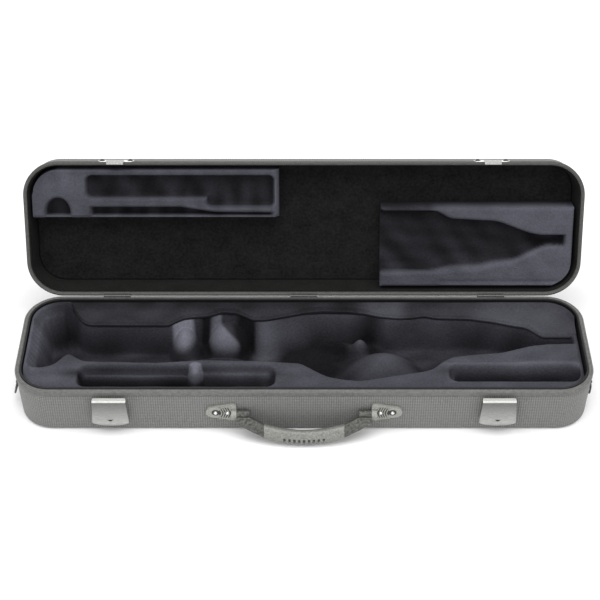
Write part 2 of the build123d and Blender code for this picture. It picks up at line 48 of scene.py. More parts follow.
# the whole case, in millimetres, as the pieces of the frame have it
case = {"length": 680, "depth": 170, "corner": 43, "baseHeight": 64, "baseLean": 3, "baseWall": 5,
        "floor": 4, "lidHeight": 40, "lidLean": 5, "lidWall": 4, "lidTop": 3.5, "partingGap": 0.4}
lidHinge = next(joint for joint in frame["joints"] if joint["name"] == "lid_hinge")
hingeY, hingeZ = (value / mm for value in lidHinge["pos_m"][1:])
openAngle = math.radians(lidHinge["range_deg"][1])
halfLength, halfDepth = case["length"] / 2, case["depth"] / 2
lidRim = case["baseHeight"] + case["partingGap"]


# Small helpers for numbers
def smooth(low, high, value):
    t = np.clip((np.asarray(value, float) - low) / (high - low), 0, 1)
    return t * t * (3 - 2 * t)


def bandOf(value, low, high, soft):
    return smooth(low - soft, low + soft, value) * (1 - smooth(high - soft, high + soft, value))


def softLine(points, xs, reach):  # a line through points, rounded over about reach millimetres
    dense = np.arange(xs.min() - 3 * reach, xs.max() + 3 * reach, 0.5)
    line = np.interp(dense, [p[0] for p in points], [p[1] for p in points])
    width = max(1, int(reach / 0.5))
    for passNumber in range(2):
        padded = np.pad(line, width, mode="edge")
        line = np.convolve(padded, np.ones(2 * width + 1) / (2 * width + 1), "valid")
    return np.interp(xs, dense, line)


def blurred(field, passes):
    for passNumber in range(passes):
        padded = np.pad(field, 1, mode="edge")
        field = (padded[:-2, 1:-1] + padded[2:, 1:-1] + padded[1:-1, :-2] + padded[1:-1, 2:]
                 + 4 * padded[1:-1, 1:-1]) / 8
    return field


def ripple(x, y, pitch, seed):  # gentle uneven waves, the same on every run
    waves = np.random.default_rng(seed)
    total = np.zeros(np.broadcast(x, y).shape)
    for count in range(5):
        angle, phase = waves.uniform(0, math.tau), waves.uniform(0, math.tau)
        scale = waves.uniform(0.7, 1.6)
        total += np.sin((x * math.cos(angle) + y * math.sin(angle)) * math.tau / (pitch * scale) + phase)
    return total / 5


# Small helpers for meshes
def linked(name, data):  # a new object in the scene
    thing = bpy.data.objects.new(name, data)
    bpy.context.scene.collection.objects.link(thing)
    return thing


def turnOutwards(mesh):
    work = bmesh.new()
    work.from_mesh(mesh)
    bmesh.ops.recalc_face_normals(work, faces=work.faces)
    work.to_mesh(mesh)
    work.free()


def shadeSoftly(mesh, sharpFrom=48):  # smooth, but for edges that turn by more degrees than this
    mesh.shade_smooth()
    mesh.set_sharp_from_angle(angle=math.radians(sharpFrom))


def newPiece(name, points, faces, material, uv=None):
    mesh = bpy.data.meshes.new(name)
    mesh.from_pydata([tuple(p) for p in np.asarray(points) * mm], [], faces)
    if uv is not None:
        layer = mesh.uv_layers.new(name="lay")
        corners = np.zeros(len(mesh.loops), int)
        mesh.loops.foreach_get("vertex_index", corners)
        layer.data.foreach_set("uv", (np.asarray(uv)[corners] * mm).ravel())
    mesh.materials.append(material)
    turnOutwards(mesh)
    shadeSoftly(mesh)
    return linked(name, mesh)


def gridFaces(numbers):  # four-sided faces over a grid of point numbers
    corners = (numbers[:-1, :-1], numbers[1:, :-1], numbers[1:, 1:], numbers[:-1, 1:])
    return np.stack(corners, -1).reshape(-1, 4).tolist()


def rimOf(numbers):  # the outermost points of a grid, once round
    return np.concatenate([numbers[:, 0], numbers[-1, 1:], numbers[-2::-1, -1], numbers[0, -2:0:-1]])


def bandFaces(first, second):  # a closed band between two rounds of point numbers
    return np.stack([first, np.roll(first, -1), np.roll(second, -1), second], -1).tolist()


def tubeFaces(rounds, count):  # closed bands between rounds of count points each
    numbers = np.arange(rounds * count).reshape(rounds, count)
    return [face for pair in zip(numbers[:-1], numbers[1:]) for face in bandFaces(*pair)]


def settle(piece, body, slotName, *replaced):
    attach(piece, body)
    if replaced:
        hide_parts(*replaced)
    return piece


def outline(steps, straightStep):  # places round the case, their ways out, and how far along each one is
    places, outward = [], []
    radius = case["corner"]
    flatX, flatY = halfLength - radius, halfDepth - radius
    for quarter, (signX, signY) in enumerate([(1, 1), (-1, 1), (-1, -1), (1, -1)]):
        for step in range(steps + 1):
            angle = math.pi / 2 * (quarter + step / steps)
            way = np.array([math.cos(angle), math.sin(angle)])
            places.append(np.array([signX * flatX, signY * flatY]) + way * radius)
            outward.append(way)
        length = 2 * (flatX if quarter % 2 == 0 else flatY)
        side = np.array([-math.sin(angle), math.cos(angle)])
        count = int(length / straightStep)
        for step in range(1, count):
            places.append(places[-1 - (step - 1)] + side * length * step / count)
            outward.append(way)
    places, outward = np.array(places), np.array(outward)
    gaps = np.linalg.norm(np.roll(places, -1, 0) - places, axis=1)
    return places, outward, np.concatenate([[0], np.cumsum(gaps)[:-1]])


def wallRings(profile, places, outward):  # one ring for each (inset, height) of the profile
    rings = []
    for inset, height in profile:
        ring = places - outward * inset
        rings.append(np.column_stack([ring, np.full(len(ring), height)]))
    return rings


def ringPiece(name, rings, material, arc, place=None, caps=(True, True)):  # skin over rings, closed by caps
    count = len(rings[0])
    faces = tubeFaces(len(rings), count)
    run = [0]
    for ring in range(1, len(rings)):
        run.append(run[-1] + np.linalg.norm(rings[ring] - rings[ring - 1], axis=1).mean())
    uv = [(along, length) for length in run for along in arc]
    capFaces = []
    for ring, wanted in zip((0, len(rings) - 1), caps):
        if wanted:
            capFaces.append(len(faces))
            faces.append(tuple(range(ring * count, (ring + 1) * count)))
    flat = np.concatenate(rings)
    points = flat if place is None else place(flat)
    piece = newPiece(name, points, faces, material, uv)
    layer = piece.data.uv_layers[0].data
    for polygon in piece.data.polygons:
        if polygon.index in capFaces:
            for corner in polygon.loop_indices:
                spot = flat[piece.data.loops[corner].vertex_index]
                layer[corner].uv = (spot[0] * mm, spot[1] * mm)
    return piece


# a pad whose top follows shape(x, y) between the lines lows and highs; its last argument gives the painted
# light and shade, how much paler each point is drawn
def padPiece(name, xs, lows, highs, rows, shape, bottom, place, material, paintedLight=None):
    share = np.linspace(0, 1, rows)
    x = np.repeat(xs[:, None], rows, 1)
    y = lows[:, None] + (highs - lows)[:, None] * share
    top = shape(x, y)
    count = len(xs)
    numbers = np.arange(count * rows).reshape(count, rows)
    edge = rimOf(numbers)
    under = count * rows + np.arange(len(edge))
    allX = np.concatenate([x.ravel(), x.ravel()[edge]])
    allY = np.concatenate([y.ravel(), y.ravel()[edge]])
    allTop = np.concatenate([top.ravel(), np.full(len(edge), float(bottom))])
    faces = gridFaces(numbers) + bandFaces(edge, under) + [under.tolist()]
    piece = newPiece(name, place(allX, allY, allTop), faces, material)
    if paintedLight is not None:
        # painted light and shade, kept on each point for the velvet
        values = np.concatenate([paintedLight(x, y, top).ravel(), np.zeros(len(edge))]).astype(np.float32)
        piece.data.attributes.new("paintedLight", "FLOAT", "POINT").data.foreach_set("value", values)
    return piece


def opened(x, fromHinge, fromRim):  # a place in the lid: distances from its hinge side and from its rim
    y = halfDepth - np.asarray(fromHinge, float) - hingeY
    z = lidRim + np.asarray(fromRim, float) - hingeZ
    turned = -openAngle
    return np.stack(np.broadcast_arrays(
        np.asarray(x, float),
        hingeY + y * math.cos(turned) - z * math.sin(turned),
        hingeZ + y * math.sin(turned) + z * math.cos(turned)), -1)


def lidTurned(flat):  # places made shut, with the height from the floor, turned open about the hinge
    return opened(flat[:, 0], halfDepth - flat[:, 1], flat[:, 2] - lidRim)


# Materials
def toLinear(hexText):
    parts = [int(hexText[at:at + 2], 16) / 255 for at in (1, 3, 5)]
    return tuple(p / 12.92 if p <= 0.04045 else ((p + 0.055) / 1.055) ** 2.4 for p in parts) + (1.0,)


def addNode(tree, kind, settings=None):  # a new node; a setting that is a node or a socket is linked
    node = tree.nodes.new(kind)
    for key, value in (settings or {}).items():
        if isinstance(value, bpy.types.Node):
            value = value.outputs[0]
        if isinstance(value, bpy.types.NodeSocket):
            tree.links.new(value, node.inputs[key])
        elif isinstance(key, int) or key in node.inputs:
            node.inputs[key].default_value = value
        else:
            setattr(node, key, value)
    return node


def newSurface(name, settings):  # an empty material, its tree, its shader and its Object coordinates
    material = bpy.data.materials.new(name)
    material.use_nodes = True
    tree = material.node_tree
    tree.nodes.clear()
    shader = addNode(tree, "ShaderNodeBsdfPrincipled", settings)
    addNode(tree, "ShaderNodeOutputMaterial", {"Surface": shader})
    return material, tree, shader, addNode(tree, "ShaderNodeTexCoord").outputs["Object"]


# noise of a real pitch in metres, pushed apart between two levels
def spotted(tree, coordinates, pitch, detail, low, high):
    noise = addNode(tree, "ShaderNodeTexNoise", {"Scale": 1 / pitch, "Detail": detail, "Vector": coordinates})
    return addNode(tree, "ShaderNodeMapRange", {"From Min": low, "From Max": high, "Value": noise})


# one step of sums in a material: a Math node's inputs by number
def sums(operation, *values):
    return {"operation": operation, **dict(enumerate(values))}


def acrossCloth(tree):  # metres along the case, and up its wall, as the cloth lies
    lay = addNode(tree, "ShaderNodeUVMap", {"uv_map": "lay"})
    return addNode(tree, "ShaderNodeSeparateXYZ", {0: lay}).outputs[:2]


# gives the shader its two tones and its relief in metres, and returns the mixed colour
def finished(tree, shader, dark, light, share, height, relief, strength):
    tones = addNode(tree, "ShaderNodeMix", {
        "data_type": "RGBA", 6: toLinear(dark), 7: toLinear(light), 0: share})
    bump = addNode(tree, "ShaderNodeBump", {"Distance": relief, "Strength": strength, "Height": height})
    tree.links.new(tones.outputs[2], shader.inputs["Base Color"])
    tree.links.new(bump.outputs[0], shader.inputs["Normal"])
    return tones.outputs[2]


weave = {"pitch": 0.0027, "thread": "#8d8d8b", "gap": "#373736", "worn": "#6e6e6d", "wornShare": 0.4,
         "flat": 0.55, "fleck": 0.0022, "blotch": 0.018, "relief": 0.0006}


# Coated polyester cloth in a plain weave: crossed flat threads with dark gaps. The real threads are about
# 1 mm apart and are drawn 2.7 mm apart, so that they still show in a picture of the whole case
def wovenCover():
    material, tree, shader, places = newSurface("wovenPolyesterCloth", {
        "Roughness": 0.72, "Sheen Weight": 0.12, "Sheen Roughness": 0.5, "IOR": 1.5})
    waves = []
    for way in acrossCloth(tree):  # the warp, then the weft
        turn = addNode(tree, "ShaderNodeMath", sums("MULTIPLY", way, math.pi / weave["pitch"]))
        waves.append(addNode(tree, "ShaderNodeMath", sums("SINE", turn)))
    crossing = addNode(tree, "ShaderNodeMath", sums("MULTIPLY", waves[0], waves[1]))
    crossing = addNode(tree, "ShaderNodeMath", sums("ABSOLUTE", crossing))
    over = addNode(tree, "ShaderNodeMath", sums("POWER", crossing, weave["flat"]))
    fleck = spotted(tree, places, weave["fleck"], 2, 0.25, 0.8)
    uneven = addNode(tree, "ShaderNodeMath", sums("MULTIPLY_ADD", fleck, 0.55, 0.55))
    shade = addNode(tree, "ShaderNodeMath", sums("MULTIPLY", over, uneven))
    threads = finished(tree, shader, weave["gap"], weave["thread"], shade, shade, weave["relief"], 0.8)
    blotch = spotted(tree, places, weave["blotch"], 4, 0.32, 0.72)
    share = addNode(tree, "ShaderNodeMath", sums("MULTIPLY", blotch, weave["wornShare"]))
    worn = addNode(tree, "ShaderNodeMix", {
        "data_type": "RGBA", 6: threads, 7: toLinear(weave["worn"]), 0: share})
    tree.links.new(worn.outputs[2], shader.inputs["Base Color"])
    return material


# Smooth cloth-backed band round each rim, pressed flat: a finer grain than the walls and a slight shine
def rimBand(name, dark, light, cordPitch=0.0021):
    material, tree, shader, places = newSurface(name, {"Roughness": 0.5, "IOR": 1.5})
    up = acrossCloth(tree)[1]
    turn = addNode(tree, "ShaderNodeMath", sums("MULTIPLY", up, math.tau / cordPitch))
    cord = addNode(tree, "ShaderNodeMath", sums("SINE", turn))
    fleck = spotted(tree, places, 0.003, 3, 0.3, 0.75)
    grain = addNode(tree, "ShaderNodeMath", sums("MULTIPLY_ADD", fleck, 0.5, 0.25))
    shade = addNode(tree, "ShaderNodeMath", sums("MULTIPLY_ADD", cord, 0.22, grain))
    finished(tree, shader, dark, light, shade, cord, 0.0003, 0.5)
    return material


# Cotton velvet over foam: short dense pile, so it drinks light face on and shines at its edges. Stroked
# patches lie paler or darker
def velvet(name, dark, light, patch, paintedLightShare=0.0, pilePitch=0.0024):
    material, tree, shader, places = newSurface(name, {
        "Roughness": 0.95, "Sheen Weight": 0.02, "Sheen Roughness": 0.42, "Sheen Tint": toLinear("#8a8a98"),
        "Specular IOR Level": 0.12})
    stroked = spotted(tree, places, patch, 4, 0.3, 0.72)
    pile = spotted(tree, places, pilePitch, 3, 0.25, 0.78)
    upright = addNode(tree, "ShaderNodeMath", sums("MULTIPLY", pile, 0.5))
    share = addNode(tree, "ShaderNodeMath", sums("MULTIPLY_ADD", stroked, 0.24, upright))
    if paintedLightShare:  # painted light and shade from the pad's attribute: where more light is painted, the pile is also less even
        lie = addNode(tree, "ShaderNodeAttribute", {"attribute_name": "paintedLight"}).outputs["Fac"]
        uneven = addNode(tree, "ShaderNodeMath", sums("MULTIPLY_ADD", lie, 0.75, 0.07))
        share = addNode(tree, "ShaderNodeMath", sums("MULTIPLY", share, uneven))
        share = addNode(tree, "ShaderNodeMath", sums("MULTIPLY_ADD", lie, paintedLightShare, share))
    finished(tree, shader, dark, light, share, pile, 0.0005, 0.6)
    return material


# Moulded or painted surface with a fine even grain, matt to silky
def grained(name, dark, light, roughness, grain, relief, settings=None):
    material, tree, shader, places = newSurface(name, {"Roughness": roughness, **(settings or {})})
    grains = spotted(tree, places, grain, 3, 0.3, 0.72)
    finished(tree, shader, dark, light, grains, grains, relief, 0.7)
    return material


# Plated or brushed sheet: long fine lines along one axis spread the highlight. Where a top shade is given,
# painted shade darkens the colour between two heights in metres, down to the share left at the top
def platedSheet(name, dark, light, roughness, stretch, relief, topShade=None):
    material, tree, shader, places = newSurface(name, {"Metallic": 1.0, "Roughness": roughness})
    lie = addNode(tree, "ShaderNodeMapping", {"Scale": stretch, "Vector": places})
    lines = spotted(tree, lie, 0.0012, 3, 0.3, 0.75)
    colour = finished(tree, shader, dark, light, lines, lines, relief, 0.4)
    # painted shade: the colour is darkened towards the top
    if topShade:
        height = addNode(tree, "ShaderNodeSeparateXYZ", {0: places}).outputs[2]
        topShadeFactor = addNode(tree, "ShaderNodeMapRange", {
            "From Min": topShade[0], "From Max": topShade[1], "To Min": 1, "To Max": topShade[2], "Value": height})
        scaled = addNode(tree, "ShaderNodeVectorMath", {"operation": "SCALE", 0: colour, "Scale": topShadeFactor})
        tree.links.new(scaled.outputs[0], shader.inputs["Base Color"])
    uneven = addNode(tree, "ShaderNodeMath", sums("MULTIPLY_ADD", lines, 0.14, roughness - 0.07))
    tree.links.new(uneven.outputs[0], shader.inputs["Roughness"])
    return material


coverCloth = wovenCover()
bandCloth = rimBand("pressedRimBandBase", "#424241", "#727270")
# the lid's band is the same pressed cloth in darker tones: painted shade
shadedLidBandCloth = rimBand("pressedRimBandLidShaded", "#2c2c2b", "#535351")
trayVelvet = velvet("greyCottonVelvetTray", "#060607", "#6c6c77", 0.03, 0.9)
stripVelvet = velvet("greyCottonVelvetBackStrip", "#0a0a0b", "#6a6a74", 0.035, 0.9)
blockVelvet = velvet("greyCottonVelvetLidBlocks", "#0a0a0b", "#6c6c78", 0.03, 0.9)
boardPlush = velvet("blackPlushBoard", "#060607", "#262627", 0.02, pilePitch=0.0032)
liningCloth = velvet("brushedLiningCloth", "#0e0e0d", "#232322", 0.02)
# Extruded ABS lip, dyed black: smooth with a low shine
lipPlastic = grained("extrudedBlackAbs", "#0f0f10", "#1c1c1d", 0.38, 0.002, 0.0001, {"IOR": 1.5})
# Injection moulded nylon, spark-eroded grain: matt, lighter on the high spots
mountPlastic = grained("mouldedNylonMount", "#787873", "#9a9a94", 0.55, 0.0016, 0.0003, {"IOR": 1.53})
strapPlastic = grained("mouldedNylonStrapEnd", "#1a1a18", "#5b5b56", 0.5, 0.0026, 0.0006, {"IOR": 1.53})
gripPlastic = grained("mouldedNylonGrip", "#5c5c58", "#83837e", 0.42, 0.0018, 0.0003, {"IOR": 1.53})
# Black stoved enamel on pressed steel: hard, silky, a little orange peel
blackEnamel = grained("stovedBlackEnamel", "#141414", "#262626", 0.35, 0.003, 0.0001, {"Coat Weight": 0.3})
# Drawn steel wire, bare: grey with lines along it
plainSteel = platedSheet("drawnSteelWire", "#8c8c8c", "#b4b4b4", 0.34, (0.2, 1.0, 1.0), 0.00004)
# Bright nickel on a pressed steel blank: nearly a mirror, faint handling marks
brightNickel = platedSheet("brightNickelPlate", "#d5d5d2", "#f0f0ee", 0.2, (1.0, 1.0, 1.0), 0.00003)
# Satin nickel, blasted before plating: an even grey shine, with painted shade making it darker towards the
# top
satinNickel = platedSheet("satinNickelPlate", "#9c9d9a", "#b4b5b2", 0.42, (0.3, 1.0, 1.0), 0.00004,
                          (0.020, 0.052, 0.42))
# The same plating on the folded top edge, drawn paler and less metallic: a painted highlight
highlightedEdge = grained("nickelEdgePaintedHighlight", "#adadaa", "#c2c2bf", 0.35, 0.002, 0.00003, {"Metallic": 0.25})
# Painted shade, black and matt, laid in hollows of moulded and pressed parts and round rivets
markShade = grained("paintedRecessShade", "#1a1a1a", "#2c2c2b", 0.6, 0.001, 0.0001)
print("materials made")

# Camera, floor and lights
view = {"place": (-4.8, -1403.4, 1340.5), "elevation": 40.75, "lens": 95.0}
cameraData = bpy.data.cameras.new("camera")
cameraData.lens, cameraData.sensor_width = view["lens"], 36
cameraData.clip_end = 50
camera = linked("camera", cameraData)
lift = math.radians(view["elevation"])
camera.location = Vector(view["place"]) * mm
camera.rotation_euler = (math.pi / 2 - lift, 0, 0)
bpy.context.scene.camera = camera
bpy.context.scene.view_settings.view_transform = "Standard"

# the lamps: place, target and size in metres, and power
studio = {"floorHalf": 6.0, "floorDark": "#f1f1f1", "floorLight": "#f6f6f6", "sky": 0.62,
          "lamps": [((0.0, -0.35, 2.2), (0, 0, 0), (3.0, 1.8), 62),
                    ((0.0, -2.2, 1.1), (0, 0, 0.03), (2.8, 0.9), 14)]}
half = studio["floorHalf"]
floorMesh = bpy.data.meshes.new("floor")
floorMesh.from_pydata([(-half, -half, 0), (half, -half, 0), (half, half, 0), (-half, half, 0)], [],
                      [(0, 1, 2, 3)])
floor = linked("floor", floorMesh)
# Pale paper sweep, matt, with a faint unevenness
floorMesh.materials.append(grained("palePaperFloor", studio["floorDark"], studio["floorLight"], 0.9, 0.05,
                                   0.00001))
world = bpy.data.worlds.new("studio")
bpy.context.scene.world = world
world.use_nodes = True
background = world.node_tree.nodes["Background"]
background.inputs[0].default_value = (1, 1, 1, 1)
background.inputs[1].default_value = studio["sky"]
for number, (place, target, size, power) in enumerate(studio["lamps"]):
    lampData = bpy.data.lights.new(f"softbox{number}", "AREA")
    lampData.shape, lampData.energy = "RECTANGLE", power
    lampData.size, lampData.size_y = size
    lamp = linked(f"softbox{number}", lampData)
    lamp.location = place
    lamp.rotation_euler = (Vector(target) - Vector(place)).to_track_quat("-Z", "Y").to_euler()
print("camera and lights placed")

# Cloth covered shells of the base and the lid
places, outward, arc = outline(16, 9)


def bend(insetCentre, heightCentre, radius, start, end, steps=6):  # an arc of a profile, in degrees
    return [(insetCentre - radius * math.cos(t), heightCentre + radius * math.sin(t))
            for t in np.linspace(math.radians(start), math.radians(end), steps)]


def baseInset(height):  # the base leans in towards its floor
    return case["baseLean"] * (case["baseHeight"] - height) / case["baseHeight"]


def lidInset(rise):  # the lid leans in towards its top
    return case["lidLean"] * rise / case["lidHeight"]


# the smooth band round each rim: where it starts, how deep the groove there is, how far the band swells and
# how sharply the cloth turns at it; the base's bottom round and the lid's top round
band = {"baseSeam": 56.2, "lidSeam": 7.2, "groove": 0.6, "swell": 0.45, "turned": 0.15}
rounds = {"base": 5, "lid": 11}

# profiles of the walls, as (inset, height) from the outside to the inside
seam, wall, rim = band["baseSeam"], case["baseWall"], case["baseHeight"]
baseSeamPoint = (baseInset(seam) + band["groove"], seam)
baseWalls = bend(baseInset(rounds["base"]) + rounds["base"], rounds["base"], rounds["base"], -90, 0)
baseWalls += [(baseInset(height), height) for height in np.linspace(9, seam - 1.2, 12)] + [baseSeamPoint]
baseBand = [baseSeamPoint, (baseInset(seam) - band["turned"], seam + 0.7), (-band["swell"], seam + 2.6),
            (-band["swell"] * 0.8, seam + 4.2)]
baseBand += bend(0.35, rim - 1, 0.9, 0, 88)
baseBand += [(wall - 0.7, rim), (wall, rim - 0.8), (wall + 0.1, rim - 24)]
baseInner = [(wall + 0.1, rim - 24), (wall + baseInset(6), 6), (wall + 4.6, case["floor"])]


def joined(name, pieces):  # several skins that are closed or meet as one piece, with their materials kept
    work, materials = bmesh.new(), []
    for piece in pieces:
        start = len(work.faces)
        work.from_mesh(piece.data)
        work.faces.ensure_lookup_table()
        for face in work.faces[start:]:
            face.material_index += len(materials)
        materials += list(piece.data.materials)
    bmesh.ops.remove_doubles(work, verts=work.verts, dist=0.00001)
    bmesh.ops.recalc_face_normals(work, faces=work.faces)
    mesh = bpy.data.meshes.new(name)
    work.to_mesh(mesh)
    work.free()
    for material in materials:
        mesh.materials.append(material)
    shadeSoftly(mesh)
    for piece in pieces:
        old = piece.data
        bpy.data.objects.remove(piece)
        bpy.data.meshes.remove(old)
    return linked(name, mesh)


baseShell = joined("baseShell", [
    ringPiece("baseWalls", wallRings(baseWalls, places, outward), coverCloth, arc, None, (True, False)),
    ringPiece("baseBand", wallRings(baseBand, places, outward), bandCloth, arc, None, (False, False)),
    ringPiece("baseInner", wallRings(baseInner, places, outward), liningCloth, arc, None, (False, True))])
settle(baseShell, "base", "woven_cover", "base_shell")

seam, wall, top = band["lidSeam"], case["lidWall"], case["lidHeight"] - case["lidTop"]
shoulder = case["lidHeight"] - rounds["lid"]
lidSeamPoint = (lidInset(seam) + band["groove"], seam)
lidBand = [(wall, 3), (wall, 1.4), (wall - 0.6, 0.5), (wall - 1.4, 0.1), (0.7, 0), (0.1, 0.08),
           (-0.35, 0.35), (-0.55, 0.85), (-band["swell"], 2.8), (-band["swell"] * 0.5, seam - 2),
           (lidInset(seam) - band["turned"], seam - 0.7), lidSeamPoint]
lidWalls = [lidSeamPoint] + [(lidInset(rise), rise) for rise in np.linspace(seam + 1.2, shoulder - 1, 8)]
lidWalls += bend(lidInset(shoulder) + rounds["lid"], shoulder, rounds["lid"], 0, 90, 12)
lidInner = [(lidInset(top) + wall, top), (lidInset(top - 2.5) + wall, top - 2.5), (wall, 3)]


def lidRings(profile):
    return [ring + (0, 0, lidRim) for ring in wallRings(profile, places, outward)]


lidShell = joined("lidShell", [
    ringPiece("lidInner", lidRings(lidInner), liningCloth, arc, lidTurned, (True, False)),
    ringPiece("lidBand", lidRings(lidBand), shadedLidBandCloth, arc, lidTurned, (False, False)),
    ringPiece("lidWalls", lidRings(lidWalls), coverCloth, arc, lidTurned, (False, True))])
settle(lidShell, "lid", "woven_cover", "lid_shell")

# Brushed cloth on the lid's inner wall
lining = {"start": 3.0, "end": 32.9, "gap": 0.05, "thick": 1.45}
outer = wall + lining["gap"]
far = lidInset(lining["end"])
liningProfile = [(outer, lining["start"] + 0.1), (wall + lining["thick"], lining["start"]),
                 (wall + lining["thick"] + 0.15, lining["start"] + 0.6),
                 (wall + far + lining["thick"] + 0.05, lining["end"]), (outer + far, lining["end"]),
                 (outer, lining["start"] + 0.1)]
lidLining = ringPiece("lidLining", lidRings(liningProfile), liningCloth, arc, lidTurned, (False, False))
settle(lidLining, "lid", "lining_cloth", "lid_wall_lining")
print("shells made")


# Foam and velvet in the base: one fitted tray, and the flat strip along its back
tray = {"inset": 8.7, "top": 57, "backTop": 50.5, "floor": 11, "columns": 1.3, "rows": 132, "bottom": 4.3,
        "rightWall": 326, "rightSlope": 4, "frontSlope": 6,
        "backEdge": [(-331, 75), (-286, 74), (-272, 50), (-262, 44.5), (-165, 44), (-158, 50), (-147, 57),
                     (-134, 59), (-118, 61), (-102, 67.5), (-82, 66.5), (-71, 60), (-63, 54), (-46, 54),
                     (-28, 59), (-17, 62), (-1, 66.5), (23, 68.5), (56, 67.5), (76, 65.5), (94, 60),
                     (116, 57), (134, 58), (149, 61), (162, 57), (203, 56), (229, 51), (253, 44), (271, 40),
                     (277, 35), (288, 23), (331, 22.5)],
        "frontEdge": [(-331, -34), (-312, -34), (-298, -31), (-290, -18), (-282, -9), (-273, -16.5),
                      (-263, -24), (-175, -27), (-122, -22), (-49, -24), (-3.5, -28), (9, -37.5), (28, -51),
                      (47, -56), (66, -58), (91, -53), (117, -47), (143, -42), (154, -37), (163, -26),
                      (176, -17), (197, -13.5), (236, -9.4), (254, -3.4), (273, 3), (297, 6.6), (331, 6.6)],
        "backSlope": [(-331, 14), (-276, 14), (-268, 9), (-165, 9), (-157, 27), (-137, 27), (-130, 8),
                      (-100, 8), (-64, 9), (-60, 27), (-18, 27), (58, 18), (75, 9), (94, 8), (101, 17),
                      (172, 17), (200, 10), (331, 8)]}
# mounds of foam that carry the instrument: centre x and y, reach x and y, turn, height, how full they are
mounds = [((95, -8), (54, 44), 0, 33, 1.2), ((69, 38), (14, 11), 0.1, 23, 1.0),
          ((44, 44), (34, 10), -0.2, 14, 1.1), ((-105, 15), (52, 8), 0.04, 14, 1.0),
          ((20, 8), (44, 12), 0.1, 6, 1.0), ((-215, 6), (46, 30), 0, 4, 1.0),
          ((-146, 40), (19, 30), 0, 36, 0.75)]
# the round rest in the bay of the back strip, with painted light on its lit side and a painted shaded round
# on it
ball = {"centre": (-93, 49), "reach": (27, 25), "rise": 38, "full": 0.62, "lit": 0.46, "litTo": (-74, -84),
        "shadeCentre": (-79, 62), "shadeReach": (25, 30)}
# the wall at the left end: a shallow shelf below the rim, then a steep fall
endWall = {"halfX": 331.3, "halfY": 76.3, "corner": 34.3, "shelf": 14, "shelfFall": 9, "steepFrom": 10,
           "steep": 13}
# gathers down the left end's wall, and slanting folds in its back corner
gathers = {"pitch": 8, "uneven": 1.4, "height": 1.1, "x": (-331, -306), "y": (-40, 62)}
folds = {"pitch": 10, "slant": 0.45, "height": 1.9, "x": (-323, -280), "y": (36, 50)}
# two long slots as (low x, high x, low y, high y), with ledges along their backs and a pad in the left one
slots = {"boxes": {"left": (-267, -34, -67.5, -30), "right": (171, 326, -58.7, -28)}, "wall": 4.5,
         "floor": 24, "corner": 11, "leftLedge": 16, "leftStep": 6, "roll": 4, "rollY": -37,
         "rightLedge": 22, "endLedge": 18, "padCentre": (-129, -38), "padReach": (11, 14), "pad": 32}
# the velvet's edge at the rim: drawn up at the left end, sunk elsewhere
rimTuck = {"rise": 8.2, "fall": 2.4, "highest": 62.6}


def halfWidth(xs, inset):  # half the width of the case's outline at each x
    radius = case["corner"] - inset
    reach = np.clip(np.abs(xs) - (halfLength - case["corner"]), 0, radius)
    return halfDepth - case["corner"] + np.sqrt(radius ** 2 - reach ** 2)


def drop(distance, width):
    return smooth(0, 1, distance / width)


def roundedBox(x, y, box, corner):  # how far inside a box with round corners each place is
    lowX, highX, lowY, highY = box
    dx = np.abs(x - (lowX + highX) / 2) - (highX - lowX) / 2 + corner
    dy = np.abs(y - (lowY + highY) / 2) - (highY - lowY) / 2 + corner
    return corner - np.hypot(np.maximum(dx, 0), np.maximum(dy, 0)) - np.minimum(np.maximum(dx, dy), 0)


def within(x, y, centre, reach):  # 1 at the centre of an oval, 0 at its edge and outside
    return np.clip(1 - ((x - centre[0]) / reach[0]) ** 2 - ((y - centre[1]) / reach[1]) ** 2, 0, 1)


